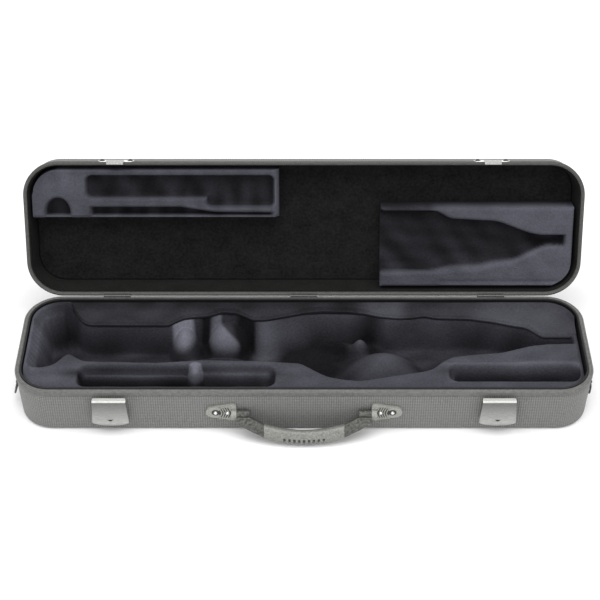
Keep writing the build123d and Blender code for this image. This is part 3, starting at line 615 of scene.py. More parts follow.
def trayTop(x, y):
    columns = x[:, 0]
    back = softLine(tray["backEdge"], columns, 3)[:, None]
    front = softLine(tray["frontEdge"], columns, 4)[:, None]
    slope = softLine(tray["backSlope"], columns, 1.5)[:, None]
    depth = tray["top"] - tray["floor"]
    gather = np.sin(y * math.tau / gathers["pitch"] + gathers["uneven"] * ripple(x, y, 22, 3))
    gather = gather * bandOf(x, *gathers["x"], 4) * bandOf(y, *gathers["y"], 6)
    fold = np.sin((x + folds["slant"] * y) * math.tau / folds["pitch"] + ripple(x, y, 18, 5))
    fold = fold * bandOf(x, *folds["x"], 4) * smooth(*folds["y"], y)
    backTop = tray["backTop"] + 6.5 * smooth(-283, -291, x)
    fromBack = backTop - (backTop - tray["floor"]) * drop(back - y, slope)
    fromFront = tray["top"] - depth * drop(y - front, tray["frontSlope"])
    halfX, halfY = endWall["halfX"], endWall["halfY"]
    near = roundedBox(x, y, (-halfX, halfX, -halfY, halfY), endWall["corner"])
    leftAway = np.where(y > 42, near + 40 * smooth(-297, -278, x), x + halfX)
    steepFall = (depth - endWall["shelfFall"]) * drop(leftAway - endWall["steepFrom"], endWall["steep"])
    fromLeft = tray["top"] - endWall["shelfFall"] * drop(leftAway, endWall["shelf"]) - steepFall
    fromRight = tray["top"] - depth * drop(tray["rightWall"] - x, tray["rightSlope"])
    height = np.maximum(np.maximum(fromBack, fromFront), np.maximum(fromLeft, fromRight))
    raisedBy = ball["rise"] * within(x, y, ball["centre"], ball["reach"]) ** ball["full"]
    for (centreX, centreY), (reachX, reachY), turn, rise, full in mounds:
        alongX = (x - centreX) * math.cos(turn) + (y - centreY) * math.sin(turn)
        alongY = (y - centreY) * math.cos(turn) - (x - centreX) * math.sin(turn)
        share = (alongX / reachX) ** 2 + (alongY / reachY) ** 2
        raisedBy = np.maximum(raisedBy, rise * np.clip(1 - share, 0, 1) ** full)
    height = np.maximum(height, tray["floor"] + blurred(raisedBy, 8))
    for side, box in slots["boxes"].items():
        inside = roundedBox(x, y, box, slots["corner"])
        level = np.full(x.shape, float(slots["floor"]))
        if side == "left":
            ledge = slots["leftLedge"] * smooth(-43, -37, y)
            ledge = ledge + slots["leftStep"] * smooth(-45, -39, y) * smooth(-132, -124, x)
            roll = slots["roll"] * np.exp(-((y - slots["rollY"]) / 2.4) ** 2) * bandOf(x, -262, -140, 4)
            pad = slots["pad"] * within(x, y, slots["padCentre"], slots["padReach"]) ** 0.45
            level = level + np.maximum(ledge + roll, pad)
        else:
            back = smooth(-37, -32, y)
            end = bandOf(x, 171, 181, 3) * smooth(-56, -44, y) * (1 - back)
            level = level + slots["rightLedge"] * back + slots["endLedge"] * end
        height = height - (height - level) * drop(inside, slots["wall"]) * (height > level)
    groove = bandOf(x, 172, 262, 5) * np.exp(-((y + 24.3) / 1.1) ** 2)
    ruffled = gathers["height"] * gather * (height > tray["floor"] + 4)
    ruffled = ruffled + folds["height"] * fold * (height < 50)
    height = blurred(height - 2.6 * groove + ruffled, 3)
    tucked = smooth(-266, -284, x) * smooth(-62, -30, y)
    lifted = rimTuck["rise"] * tucked * (1 - smooth(0.5, 9, near))
    sunk = rimTuck["fall"] * (1 - tucked) * (1 - smooth(0, 5, near))
    height = np.minimum(height + (lifted - sunk) * (height > 48), rimTuck["highest"])
    return height + 0.35 * ripple(x, y, 60, 8) + 0.12 * ripple(x, y, 14, 9)


# painted light and shade on the tray: centre x and y, reach x and y, strength (below 0 is painted shade)
paintedLightSpots = [((-48, 34), (18, 20), 0.27), ((-20, 46), (34, 12), 0.12), ((69, 38), (9, 8), 0.2),
         ((96, -2), (32, 26), 0.16), ((-323, 20), (11, 60), 0.26), ((-70, 50), (13, 24), -0.3),
         ((84, 45), (12, 26), -0.08), ((0, 8), (52, 30), -0.14), ((-200, -14), (90, 9), -0.12),
         ((-75, -36), (30, 4), 0.12), ((-120, 50), (6, 30), -0.2), ((-46, -38), (7, 8), 0.1),
         ((-200, -36), (58, 2.5), 0.16), ((250, -29), (80, 4), 0.2), ((176, -46), (5, 12), 0.2),
         ((-200, -46), (90, 6), -0.25), ((-80, -48), (50, 5), -0.25), ((252, -42), (74, 6), -0.25),
         ((150, 40), (40, 12), 0.05), ((-295, 62), (12, 22), -0.06), ((12, 40), (50, 15), -0.12),
         ((-300, 5), (14, 22), -0.06), ((-300, -52), (22, 16), 0.1)]
# rounds lit all over, as the light falls on their fronts: centre, reach, strength, how soon it is full
litRounds = [((-147, 43), (16, 27), 0.52, 0.6), ((-129, -38), (10, 13), 0.36, 0.4)]


def trayPaintedLight(x, y, height):  # painted light and shade: paler on top, painted shade behind the front edge, and painted light on the rests
    onTop = smooth(50, 56, height) * smooth(-60, 20, 20 - y)
    behindEdge = y - softLine(tray["frontEdge"], x[:, 0], 4)[:, None]
    paintedLight = 0.075 + 0.05 * smooth(12, 45, height) + 0.12 * onTop
    low = (1 - smooth(38, 50, height)) * (1 - smooth(200, 240, x))
    paintedLight = paintedLight - 0.14 * bandOf(behindEdge, 3, 18, 3) * low
    lit = smooth(0, 0.4, within(x, y, ball["centre"], ball["reach"])) * smooth(*ball["litTo"], x)
    shade = smooth(0, 0.3, within(x, y, ball["shadeCentre"], ball["shadeReach"]))
    paintedLight = paintedLight + ball["lit"] * lit * (1 - shade)
    for centre, reach, strength, full in litRounds:
        paintedLight = paintedLight + strength * smooth(0, full, within(x, y, centre, reach))
    for (centreX, centreY), (reachX, reachY), strength in paintedLightSpots:
        paintedLight = paintedLight + strength * np.exp(-((x - centreX) / reachX) ** 2 - ((y - centreY) / reachY) ** 2)
    return np.clip(paintedLight + 0.05 * ripple(x, y, 26, 77), 0, 1)


def flat(x, y, z):
    return np.stack([x, y, z], -1)


trayEnd = 331.2
trayXs = np.arange(-trayEnd, trayEnd + 0.01, tray["columns"])
trayHalf = halfWidth(trayXs, tray["inset"])
trayBody = padPiece("trayBody", trayXs, -trayHalf, trayHalf, tray["rows"], trayTop, tray["bottom"], flat,
                    trayVelvet, trayPaintedLight)
settle(trayBody, "base", "tray_velvet", "tray_floor", "tray_bell_end", "tray_front_left", "tray_front_right",
       "tray_neck_end", "tray_rest_left", "tray_rest_middle", "tray_rest_right", "tray_rest_front")

# the flat strip along the back; its velvet is pressed up against the back wall
strip = {"top": 57.4, "bottom": 50.9, "start": -286, "columns": 2.0, "rows": 40, "edge": 3.2,
         "edgeFall": 3.6, "backFall": 1.2, "turnedUp": 5.6, "overlap": 1.2}


def stripTop(x, y):
    fromFront, fromBack = y - stripLows[:, None], stripHighs[:, None] - y
    rounding = (1 - smooth(0, strip["edge"], fromFront)) * strip["edgeFall"]
    rounding = rounding + (1 - smooth(0, 2, fromBack)) * strip["backFall"]
    height = strip["top"] + strip["turnedUp"] * smooth(13, 0.5, fromBack) - rounding
    return height + 0.3 * ripple(x, y, 70, 12) + 0.12 * ripple(x, y, 16, 13)


# painted light and shade on the back strip: paler towards the right end and in two bands, darker at the back
def stripPaintedLight(x, y, height):
    paintedLight = 0.10 + 0.07 * smooth(40, 300, x) + 0.16 * bandOf(x, 74, 122, 14) + 0.1 * bandOf(x, 215, 310, 30)
    return np.clip(paintedLight - 0.07 * smooth(60, 74, y) + 0.04 * ripple(x, y, 30, 78), 0, 1)


stripXs = np.arange(strip["start"], trayEnd, strip["columns"])
stripLows = softLine(tray["backEdge"], stripXs, 3) - strip["overlap"]
stripHighs = np.maximum(halfWidth(stripXs, tray["inset"] + 0.2), stripLows + 1)
trayBackStrip = padPiece("trayBackStrip", stripXs, stripLows, stripHighs, strip["rows"], stripTop,
                         strip["bottom"], flat, stripVelvet, stripPaintedLight)
settle(trayBackStrip, "base", "tray_velvet", "tray_back_left", "tray_back_right")
print("tray made")

# Board and foam blocks in the lid, by their distance from the hinge side and from the rim
board = {"face": 33.0, "back": 36.4, "inset": 10.6, "halfLength": 329, "columns": 3.5, "rows": 48,
         "uneven": 0.25}


def lidPlace(x, fromHinge, fromRim):
    return opened(x, fromHinge, -fromRim)  # heights of a pad count from the rim downwards into the lid


def boardTop(x, y):
    return -board["face"] + board["uneven"] * ripple(x, y, 40, 21)


boardXs = np.arange(-board["halfLength"], board["halfLength"] + 0.1, board["columns"])
boardHalf = halfWidth(boardXs, board["inset"])
lidBoard = padPiece("lidBoard", boardXs, halfDepth - boardHalf, halfDepth + boardHalf, board["rows"],
                    boardTop, -board["back"], lidPlace, boardPlush)
settle(lidBoard, "lid", "board_velvet", "lid_board")

# the two foam blocks, as (low x, high x, nearest and farthest from the hinge side), and their recesses
blocks = {"face": 4.2, "floor": 24, "back": 32.9, "edge": 3.0, "edgeFall": 2.6, "columns": 1.3, "rows": 56,
          "left": (-330.5, -29, 99, 161), "right": (94, 330.5, 9.5, 112)}
leftRecess = {"upper": (-266, -35, 122, 153), "upperCorner": 9, "step": (-120, -35, 110.5, 153),
              "stepCorner": 8, "lower": [(-262, 114), (-150, 114), (-110, 107.5), (-40, 107)],
              "lowerFloor": 6, "arch": (-300, 104), "archReach": (17, 22), "archFloor": 2, "welt": 14}
rightRecess = {"upper": [(84, 27), (214, 29), (257, 40), (286, 56), (296, 61), (331, 61)],
               "lower": [(84, 108), (163, 108), (177, 98), (236, 95), (275, 80), (290, 77), (331, 77)],
               "slope": [(84, 6), (160, 7), (180, 22), (235, 22), (262, 9), (331, 4)], "end": 321,
               "groove": 16.5}


def recessed(level, floor, inside, wall):
    return level - (level - floor) * drop(inside, wall)


def roundedEdge(height, edge):  # the face falls off softly at its outer edge
    return height - blocks["edgeFall"] * (1 - smooth(0, blocks["edge"], edge)) * (height > -12)


def leftBlockTop(x, y):
    lowX, highX, lowY, highY = blocks["left"]
    floor = -blocks["floor"]
    face = np.full(x.shape, -blocks["face"])
    upper = roundedBox(x, y, leftRecess["upper"], leftRecess["upperCorner"])
    step = roundedBox(x, y, leftRecess["step"], leftRecess["stepCorner"])
    height = recessed(face, floor, np.maximum(upper, step), 5)
    lower = softLine(leftRecess["lower"], x[:, 0], 5)[:, None] - y
    lower = np.minimum(np.minimum(x + 262, -36 - x) * 0.8, lower)
    height = np.minimum(height, recessed(face, floor + leftRecess["lowerFloor"], lower, 6))
    (archX, archY), (reachX, reachY) = leftRecess["arch"], leftRecess["archReach"]
    arch = 1 - np.hypot((x - archX) / reachX, np.maximum(y - archY, 0) / reachY)
    height = np.minimum(height, recessed(face, floor + leftRecess["archFloor"], arch * reachX, 6))
    welt = leftRecess["welt"]  # along the block's lower edge
    height = np.maximum(height, face - welt + (welt - 1) * (1 - smooth(101, 102.4, y)))
    edge = np.minimum(np.minimum(y - lowY, highY - y), np.minimum(x - lowX + 2, highX - x))
    height = roundedEdge(blurred(height, 2), edge)
    height = height - 7 * (1 - smooth(0, 9, highX - x)) * (height > -16)
    return height + 0.3 * ripple(x, y, 45, 31) + 0.12 * ripple(x, y, 13, 32)


def rightBlockTop(x, y):
    lowX, highX, lowY, highY = blocks["right"]
    columns = x[:, 0]
    upper = softLine(rightRecess["upper"], columns, 5)[:, None]
    lower = softLine(rightRecess["lower"], columns, 5)[:, None]
    slope = softLine(rightRecess["slope"], columns, 6)[:, None]
    inside = np.minimum(np.minimum((y - upper) / slope, (lower - y) / 5), (rightRecess["end"] - x) / 4)
    height = recessed(np.full(x.shape, -blocks["face"]), -blocks["floor"], inside, 1.0)
    groove = bandOf(x, 168, 314, 5) * np.exp(-((y - rightRecess["groove"]) / 1.2) ** 2)
    edge = np.minimum(np.minimum(y - lowY, highY - y), np.minimum(x - lowX, highX - x))
    height = roundedEdge(blurred(height - 2 * groove, 2), edge)
    return height + 0.3 * ripple(x, y, 45, 41) + 0.12 * ripple(x, y, 13, 42)


# painted light and shade on the left lid block: paler on its face, along its near and far edges, at its right
# end and at one spot
def leftBlockPaintedLight(x, y, height):
    paintedLight = 0.03 + 0.21 * smooth(-15, -7, height) + 0.1 * smooth(155, 160, y) + 0.16 * smooth(-40, -34, x)
    paintedLight = paintedLight + 0.12 * np.exp(-((x + 290) / 22) ** 2 - ((y - 140) / 16) ** 2)
    paintedLight = paintedLight + 0.1 * (1 - smooth(99.5, 101.5, y)) + 0.06 * ripple(x, y, 28, 79)
    return np.clip(paintedLight, 0, 1)


# painted light and shade on the right lid block: paler on its face and towards its right end, darker at its
# left end far from the hinge
def rightBlockPaintedLight(x, y, height):
    paintedLight = 0.03 + 0.24 * smooth(-13, -6, height) - 0.2 * (1 - smooth(150, 165, x)) * smooth(98, 103, y)
    paintedLight = paintedLight + 0.08 * smooth(150, 260, x) * smooth(-14, -6, height)
    return np.clip(paintedLight + 0.05 * ripple(x, y, 28, 80), 0, 1)


for side, shape, paintedLight in (("left", leftBlockTop, leftBlockPaintedLight), ("right", rightBlockTop, rightBlockPaintedLight)):
    lowX, highX, nearest, farthest = blocks[side]
    blockXs = np.arange(lowX, highX + 0.01, blocks["columns"])
    reach = halfWidth(blockXs, board["inset"])
    lows, highs = np.maximum(halfDepth - reach, nearest), np.minimum(halfDepth + reach, farthest)
    lidBlock = padPiece(f"lidBlock{side.capitalize()}", blockXs, lows, highs, blocks["rows"], shape,
                        -blocks["back"], lidPlace, blockVelvet, paintedLight)
    settle(lidBlock, "lid", "tray_velvet", f"lid_block_{side}")
print("lid pads made")


# Places on the outside walls: along the case, up from the rim, out from the wall
def wallFrame(origin, xDir, lean, turned=False):
    origin, xDir = np.array(origin, float), np.array(xDir, float)
    level = np.cross(xDir, (0, 0, 1.0))  # straight out of the wall
    zDir = level * math.cos(lean) + np.array((0, 0, math.sin(lean)))
    yDir = np.cross(zDir, xDir)

    def place(along, up, out):
        along, up, out = np.broadcast_arrays(*(np.asarray(v, float) for v in (along, up, out)))
        spots = origin + along[..., None] * xDir + up[..., None] * yDir + out[..., None] * zDir
        return lidTurned(spots.reshape(-1, 3)).reshape(spots.shape) if turned else spots
    return place


baseLeanAngle = -math.atan2(case["baseLean"], case["baseHeight"])
lidLeanAngle = math.atan2(case["lidLean"], case["lidHeight"])
frontWall = wallFrame((0, -halfDepth, case["baseHeight"]), (1, 0, 0), baseLeanAngle)
backWall = wallFrame((0, halfDepth, case["baseHeight"]), (-1, 0, 0), baseLeanAngle)
leftWall = wallFrame((-halfLength, 0, case["baseHeight"]), (0, -1, 0), baseLeanAngle)
rightWall = wallFrame((halfLength, 0, case["baseHeight"]), (0, 1, 0), baseLeanAngle)
lidFrontWall = wallFrame((0, -halfDepth, lidRim), (1, 0, 0), lidLeanAngle, True)
lidBackWall = wallFrame((0, halfDepth, lidRim), (-1, 0, 0), lidLeanAngle, True)


# Geometry Nodes: rivets on points that carry their way out, and ribs that follow one bent line
def newTree(name, inputs):
    tree = bpy.data.node_groups.new(name, "GeometryNodeTree")
    tree.interface.new_socket("Geometry", in_out="INPUT", socket_type="NodeSocketGeometry")
    for label, kind, value in inputs:
        tree.interface.new_socket(label, in_out="INPUT", socket_type=kind).default_value = value
    tree.interface.new_socket("Geometry", in_out="OUTPUT", socket_type="NodeSocketGeometry")
    return tree, addNode(tree, "NodeGroupInput").outputs


def finishTree(tree, geometry, material):  # real geometry with its material
    real = addNode(tree, "GeometryNodeRealizeInstances", {0: geometry})
    painted = addNode(tree, "GeometryNodeSetMaterial", {"Material": material, "Geometry": real})
    addNode(tree, "NodeGroupOutput", {0: painted})
    return tree


# runs a tree on a small mesh and keeps the result; facing is each point's way out
def grown(name, tree, points, edges, values, material, facing=None):
    mesh = bpy.data.meshes.new(name)
    mesh.from_pydata([tuple(p) for p in np.asarray(points) * mm], edges, [])
    if facing is not None:
        ways = mesh.attributes.new("facing", "FLOAT_VECTOR", "POINT")
        ways.data.foreach_set("vector", np.asarray(facing, np.float32).ravel())
    piece = linked(name, mesh)
    modifier = piece.modifiers.new("made", "NODES")
    modifier.node_group = tree
    for label, value in values.items():
        modifier[tree.interface.items_tree[label].identifier] = value
    bpy.context.view_layer.update()
    graph = bpy.context.evaluated_depsgraph_get()
    result = bpy.data.meshes.new_from_object(piece.evaluated_get(graph), preserve_all_data_layers=True,
                                             depsgraph=graph)
    piece.modifiers.clear()
    piece.data = result
    result.name = name
    result.materials.clear()
    result.materials.append(material)
    turnOutwards(result)
    shadeSoftly(result, 50)
    return piece


def rivetTree(material):
    tree, inputs = newTree("rivets", [("Radius", "NodeSocketFloat", 0.003),
                                      ("Height", "NodeSocketFloat", 0.002)])
    way = addNode(tree, "GeometryNodeInputNamedAttribute", {"data_type": "FLOAT_VECTOR", "Name": "facing"})
    turn = addNode(tree, "FunctionNodeAlignRotationToVector", {"axis": "Z", "Vector": way})
    dome = addNode(tree, "GeometryNodeMeshUVSphere", {"Segments": 28, "Rings": 14, "Radius": 1.0})
    radius, height = inputs["Radius"], inputs["Height"]
    size = addNode(tree, "ShaderNodeCombineXYZ", {0: radius, 1: radius, 2: height})
    placed = addNode(tree, "GeometryNodeInstanceOnPoints", {
        "Points": inputs["Geometry"], "Instance": dome, "Rotation": turn, "Scale": size})
    return finishTree(tree, placed, material)


def ribTree(material):
    tree, inputs = newTree("ribs", [("Count", "NodeSocketInt", 5), ("Radius", "NodeSocketFloat", 0.0006),
                                    ("Step", "NodeSocketVector", (0.003, 0, 0))])
    line = addNode(tree, "GeometryNodeMeshToCurve", {0: inputs["Geometry"]})
    circle = {"Resolution": 10, "Radius": inputs["Radius"]}
    section = addNode(tree, "GeometryNodeCurvePrimitiveCircle", circle)
    bar = addNode(tree, "GeometryNodeCurveToMesh", {
        "Fill Caps": True, "Curve": line, "Profile Curve": section})
    row = addNode(tree, "GeometryNodeMeshLine", {"Count": inputs["Count"], "Offset": inputs["Step"]})
    placed = addNode(tree, "GeometryNodeInstanceOnPoints", {"Points": row, "Instance": bar})
    return finishTree(tree, placed, material)


brightRivets, blackRivets = rivetTree(brightNickel), rivetTree(blackEnamel)
steelRivets, shadeDiscs = rivetTree(plainSteel), rivetTree(markShade)
hinge = {"places": (-231, 0, 231), "rows": (-10, -19), "spread": 10.5, "leaf": 1.2, "radius": 2.0,
         "height": 1.0}
latch = {"place": 226.5, "rivet": 17, "catchMiddle": 6.8, "catchSheet": 1.2, "radius": 2.48, "height": 1.9,
         "shadeRadius": 3.7, "shadeHeight": 0.5}
mount = {"rivets": (89.5, 103.5), "middle": -32, "sheet": 3.2, "radius": 2.5, "height": 2.1,
         "shadeRadius": 4.7, "shadeHeight": 0.9, "recess": 91.5, "recessRadius": 8.6, "recessHeight": 0.3}
ring = {"place": -29, "spread": 8, "up": -23.5, "sheet": 1.6, "radius": 2.0, "height": 1.1}


def rivets(name, body, slotName, tree, material, wall, spots, out, radius, height, *nodesReplaced):
    spots = np.array(spots, float)
    seats = wall(spots[:, 0], spots[:, 1], np.full(len(spots), out))
    heads = wall(spots[:, 0], spots[:, 1], np.full(len(spots), out + 1))
    sizes = {"Radius": radius * mm, "Height": height * mm}
    piece = grown(name, tree, seats, [], sizes, material, heads - seats)
    return settle(piece, body, slotName, *nodesReplaced)


hingeSpots = [(x + side * hinge["spread"], row) for x in hinge["places"] for side in (-1, 1)
              for row in hinge["rows"]]
catchSpots = [(way * latch["place"] + side * latch["rivet"], latch["catchMiddle"]) for way in (-1, 1)
              for side in (-1, 1)]
mountSpots = [(way * x, mount["middle"]) for way in (-1, 1) for x in mount["rivets"]]
rivets("baseHingeRivets", "base", "plain_steel", steelRivets, plainSteel, backWall, hingeSpots,
       hinge["leaf"], hinge["radius"], hinge["height"], "base_hinge_rivets")
rivets("lidHingeRivets", "lid", "plain_steel", steelRivets, plainSteel, lidBackWall,
       [(x, -row) for x, row in hingeSpots], hinge["leaf"], hinge["radius"], hinge["height"],
       "lid_hinge_rivets")
rivets("catchRivets", "lid", "bright_plate", blackRivets, blackEnamel, lidFrontWall, catchSpots,
       latch["catchSheet"], latch["radius"], latch["height"], "catch_rivets")
rivets("handleMountRivets", "base", "bright_plate", brightRivets, brightNickel, frontWall, mountSpots,
       mount["sheet"], mount["radius"], mount["height"], "handle_mount_rivets")
for side, endFrame, way in (("left", leftWall, -1), ("right", rightWall, 1)):
    ringSpots = [(way * ring["place"] + column * ring["spread"], ring["up"]) for column in (-1, 1)]
    rivets(f"bracketRivets{side.capitalize()}", "base", "black_steel", blackRivets, blackEnamel, endFrame,
           ringSpots, ring["sheet"], ring["radius"], ring["height"], f"ring_bracket_rivets_{side}")

# Chevron ribs moulded on the inner part of each handle mount, pointing at the grip
chevron = {"first": 84.5, "count": 5, "pitch": 2.9, "half": 9.2, "tip": 3.4, "waist": 3.5, "blunt": 1,
           "radius": 0.8, "out": 3.6}
ribs = ribTree(mountPlastic)
for side, way in (("left", -1), ("right", 1)):
    arm = [(chevron["tip"], chevron["half"]), (chevron["blunt"], chevron["waist"])]
    bent = arm + [(0, 0)] + [(x, -up) for x, up in reversed(arm)]
    line = frontWall([way * (chevron["first"] + x) for x, up in bent],
                     [mount["middle"] + up for x, up in bent], chevron["out"])
    step = Vector((way * chevron["pitch"] * mm, 0, 0))
    piece = grown(f"mountRibs{side.capitalize()}", ribs, line, [(0, 1), (1, 2), (2, 3), (3, 4)],
                  {"Count": chevron["count"], "Step": step, "Radius": chevron["radius"] * mm}, mountPlastic)
    settle(piece, "base", "mount_plastic")
# dark discs of painted shade round the rivets of mounts and catches, and painted shade on the ground of the
# ribs
rivets("mountRivetShade", "base", "mount_plastic", shadeDiscs, markShade, frontWall, mountSpots, mount["sheet"],
       mount["shadeRadius"], mount["shadeHeight"])
rivets("catchRivetShade", "lid", "bright_plate", shadeDiscs, markShade, lidFrontWall, catchSpots,
       latch["catchSheet"], latch["shadeRadius"], latch["shadeHeight"])
rivets("ribGroundShade", "base", "mount_plastic", shadeDiscs, markShade, frontWall,
       [(way * mount["recess"], mount["middle"]) for way in (-1, 1)], mount["sheet"], mount["recessRadius"],
       mount["recessHeight"])
print("rivets and ribs grown")

# Latch plates: pressed satin sheet with its top edge bent back, a rounded foot and an arrow mark
plate = {"top": -7.5, "foot": -46.9, "belly": 1.6, "topHalf": 19.5, "footHalf": 21.75, "out": 9.6,
         "sheet": 1.5, "lipOut": 2.9, "bend": 2.2, "corner": 6.5, "rows": 96, "columns": 72, "pivotUp": -25,
         "pivotOut": 4.6, "pivotRound": 2.6, "earHalf": 8, "flange": 18.2, "flangeSheet": 1.4,
         "markUp": -38.6, "markSize": 3.1, "markDeep": 0.55, "edgeDepth": 1.6}


def plateSkin(inner):  # rows of (along, up, out) over one face of the sheet, from the bent lip to the foot
    sheet = plate["sheet"] if inner else 0
    bendRadius = max(plate["bend"] - sheet, 0.5)
    out, top, lip = plate["out"] - sheet, plate["top"] - sheet, plate["lipOut"]
    lipRows = [(top, lip + t * (out - bendRadius - lip)) for t in np.linspace(0, 1, 6)]
    turn = [(top - bendRadius * (1 - math.cos(a)), out - bendRadius * (1 - math.sin(a)))
            for a in np.linspace(0.2, math.pi / 2, 7)]
    side = np.linspace(-1, 1, plate["columns"])
    rows = []
    for up, w in lipRows + turn:
        half = plate["topHalf"] - 0.8 * smooth(3, 0, w - lip)
        rows.append((side * half, np.full(len(side), up), np.full(len(side), w)))
    start = turn[-1][0]
    foot = plate["foot"] - plate["belly"] * (1 - side ** 2)
    corner = plate["corner"]
    for t in np.linspace(0, 1, plate["rows"])[1:]:
        up = start + (foot - start) * t
        rise = up - foot
        down = (plate["top"] - up) / (plate["top"] - plate["foot"])
        full = plate["topHalf"] + (plate["footHalf"] - plate["topHalf"]) * down
        cut = corner - np.sqrt(np.maximum(corner ** 2 - np.maximum(corner - rise, 0) ** 2, 0))
        x = side * (full - cut)
        w = np.full(len(side), out) - 1.3 * smooth(4.5, 0, rise) - 0.35 * smooth(0.9, 1, np.abs(side))
        if not inner:  # the pressed arrow mark
            above = up - plate["markUp"]
            inside = (plate["markSize"] + above * 1.1 - 1.6 - np.abs(x) * 0.9) * 0.9
            inside = np.minimum(inside, 1.5 - above)
            w = w - plate["markDeep"] * smooth(-0.1, 0.5, np.minimum(inside, above + 2.2))
        rows.append((x, up, w))
    return rows


def platePoints(centre, rows):
    return np.array([frontWall(centre + x, up, w) for x, up, w in rows])


def sheetPiece(name, outer, inner, material):  # two skins of equal grids, joined round their edges
    rows, columns = outer.shape[:2]
    numbers = np.arange(rows * columns).reshape(rows, columns)
    under = numbers + rows * columns
    edge = rimOf(numbers)
    faces = gridFaces(numbers) + gridFaces(under.T) + bandFaces(edge, edge + rows * columns)
    return newPiece(name, np.concatenate([outer.reshape(-1, 3), inner.reshape(-1, 3)]), faces, material)


def slab(name, corners, thickness, place, material):  # a flat plate from its outline
    count = len(corners)
    points = [place(out, a, b) for out in (0, thickness) for a, b in corners]
    faces = [list(range(count)), list(range(2 * count - 1, count - 1, -1))] + tubeFaces(2, count)
    return newPiece(name, np.array(points), faces, material)


for side, way in (("left", -1), ("right", 1)):
    centre = way * latch["place"]
    skins = [platePoints(centre, plateSkin(inner)) for inner in (False, True)]
    parts = [sheetPiece("face", *skins, satinNickel)]
    pivotUp, pivotRound = plate["pivotUp"], plate["pivotRound"]
    reach = plate["out"] - plate["sheet"] + 0.1
    ear = [(pivotUp + pivotRound * math.cos(a), plate["pivotOut"] + pivotRound * math.sin(a))
           for a in np.linspace(math.pi, math.tau, 9)]
    ear += [(pivotUp + end * plate["earHalf"], out)
            for end, out in ((1, reach - 2), (1, reach), (-1, reach), (-1, reach - 2))]
    for flange in (-1, 1):
        start = centre + flange * plate["flange"] - (plate["flangeSheet"] if flange > 0 else 0)
        parts.append(slab("ear", ear, plate["flangeSheet"], lambda x, a, b: frontWall(start + x, a, b),
                          satinNickel))
    whole = joined(f"latchPlate{side.capitalize()}", parts)
    whole.data.materials.append(highlightedEdge)
    whole.data.materials.append(markShade)
    highlighted, dark = len(whole.data.materials) - 2, len(whole.data.materials) - 1
    foldHeight = (case["baseHeight"] + plate["top"] - plate["edgeDepth"]) * mm
    tip = case["baseHeight"] + plate["markUp"] - 2.3
    for polygon in whole.data.polygons:
        x, y, z = (value / mm for value in polygon.center)
        # painted highlight on the folded top edge
        if polygon.center.z > foldHeight:
            polygon.material_index = highlighted
        # painted shade in the pressed arrow mark
        elif tip < z < tip + 3.4 and abs(x - centre) < 1.15 * (z - tip) and y < -halfDepth - 5:
            polygon.material_index = dark
    settle(whole, f"{side}_latch", "satin_plate", f"latch_plate_{side}")
print("latch plates made")

# Grip: a bowed moulded bar, lofted along its bow, with finger notches underneath
grip = {"pivotUp": -32, "pivotOut": 5.2, "hang": 35, "drop": 27, "half": 47, "rise": 7.5, "across": 8.0,
        "thick": 8.0, "square": 3.4, "notches": 9, "pitch": 5.7, "notch": 2.9, "depth": 2.6}
hang = math.radians(grip["hang"])
pivot = frontWall(0.0, grip["pivotUp"], grip["pivotOut"])
gripUp = np.array((0, math.sin(hang), math.cos(hang)))
gripOut = np.array((0, -math.cos(hang), math.sin(hang)))
bow = (grip["half"] ** 2 + grip["rise"] ** 2) / (2 * grip["rise"])  # the radius of its bow
notched = grip["notches"] * grip["pitch"] / 2


def fromNotch(x):  # distance from the nearest notch's middle
    return abs((x / grip["pitch"] + 0.5) % 1 - 0.5) * grip["pitch"]


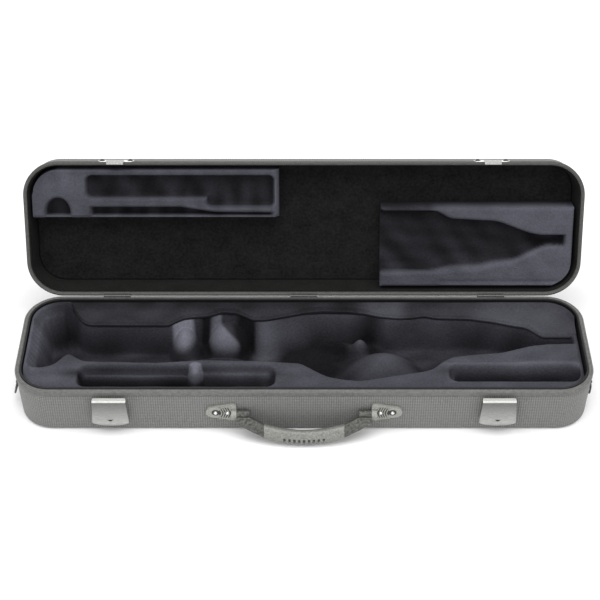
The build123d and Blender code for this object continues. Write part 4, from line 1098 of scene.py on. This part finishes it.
turns = np.linspace(0, math.tau, 48, endpoint=False)
acrossShare, thickShare = (np.sign(way) * np.abs(way) ** (2 / grip["square"])
                           for way in (np.cos(turns), np.sin(turns)))
rings = []
for x in np.linspace(-grip["half"], grip["half"], 241):
    middle = -grip["drop"] + bow - math.sqrt(bow ** 2 - x ** 2)
    slim = 1 - 0.05 * smooth(36, 47, abs(x))
    across, thick = acrossShare * grip["across"] * slim, thickShare * grip["thick"] * slim
    cut = 1 - smooth(grip["notch"] / 2 - 0.3, grip["notch"] / 2 + 0.3, fromNotch(x))
    notch = grip["depth"] * cut * (abs(x) < notched)
    across = across + notch * smooth(-3.5, -6.5, across) * smooth(7.6, 6.2, np.abs(thick))
    section = (middle + across)[:, None] * gripUp + thick[:, None] * gripOut
    rings.append(pivot + np.array((x, 0, 0)) + section)
count = len(turns)
gripFaces = tubeFaces(len(rings), count)
gripFaces += [list(range(count)), list(range((len(rings) - 1) * count, len(rings) * count))]
handleGrip = newPiece("handleGrip", np.concatenate(rings), gripFaces, gripPlastic)
handleGrip.data.materials.append(markShade)
for polygon in handleGrip.data.polygons:  # painted shade on the notches' floors
    x = polygon.center.x / mm
    up = (polygon.center - Vector(pivot * mm)).dot(Vector(gripUp)) / mm
    underside = -grip["drop"] + grip["rise"] * (x / grip["half"]) ** 2 - grip["depth"]
    if up < underside and fromNotch(x) < grip["notch"] / 2 and abs(x) < notched:
        polygon.material_index = 1
settle(handleGrip, "handle", "grip_plastic", "handle_grip")
print("grip made")

# Hardware from the frame: each node keeps its shape and gets a finish, and some get softer edges
finishes = {"base_lip": lipPlastic, "base_hinge_leaves": blackEnamel, "lid_hinge_leaves": blackEnamel,
            "hinge_pins": plainSteel}
edges = {"base_lip": 0.4}
# the nodes that come in pairs: finish, and width of the softened edges in millimetres
pairs = {"catch": (brightNickel, 0.35), "handle_mount": (mountPlastic, 0.9),
         "handle_end": (strapPlastic, 1.6), "handle_pin": (plainSteel, None),
         "latch_base": (blackEnamel, None), "latch_pin": (plainSteel, None),
         "latch_spring": (plainSteel, None), "ring_bracket": (blackEnamel, 0.4),
         "strap_ring": (blackEnamel, None)}
for part, (material, edge) in pairs.items():
    for side in ("left", "right"):
        finishes[f"{part}_{side}"] = material
        if edge:
            edges[f"{part}_{side}"] = edge
for name, material in finishes.items():
    node = nodes[name]
    for holder in node.material_slots:
        holder.material = material
    if name in edges:
        node.modifiers.new("weld", "WELD").merge_threshold = 0.00001
        bevel = node.modifiers.new("bevel", "BEVEL")
        bevel.width, bevel.segments, bevel.limit_method = edges[name] * mm, 3, "ANGLE"
        bevel.angle_limit = math.radians(35)
print("hardware finished")
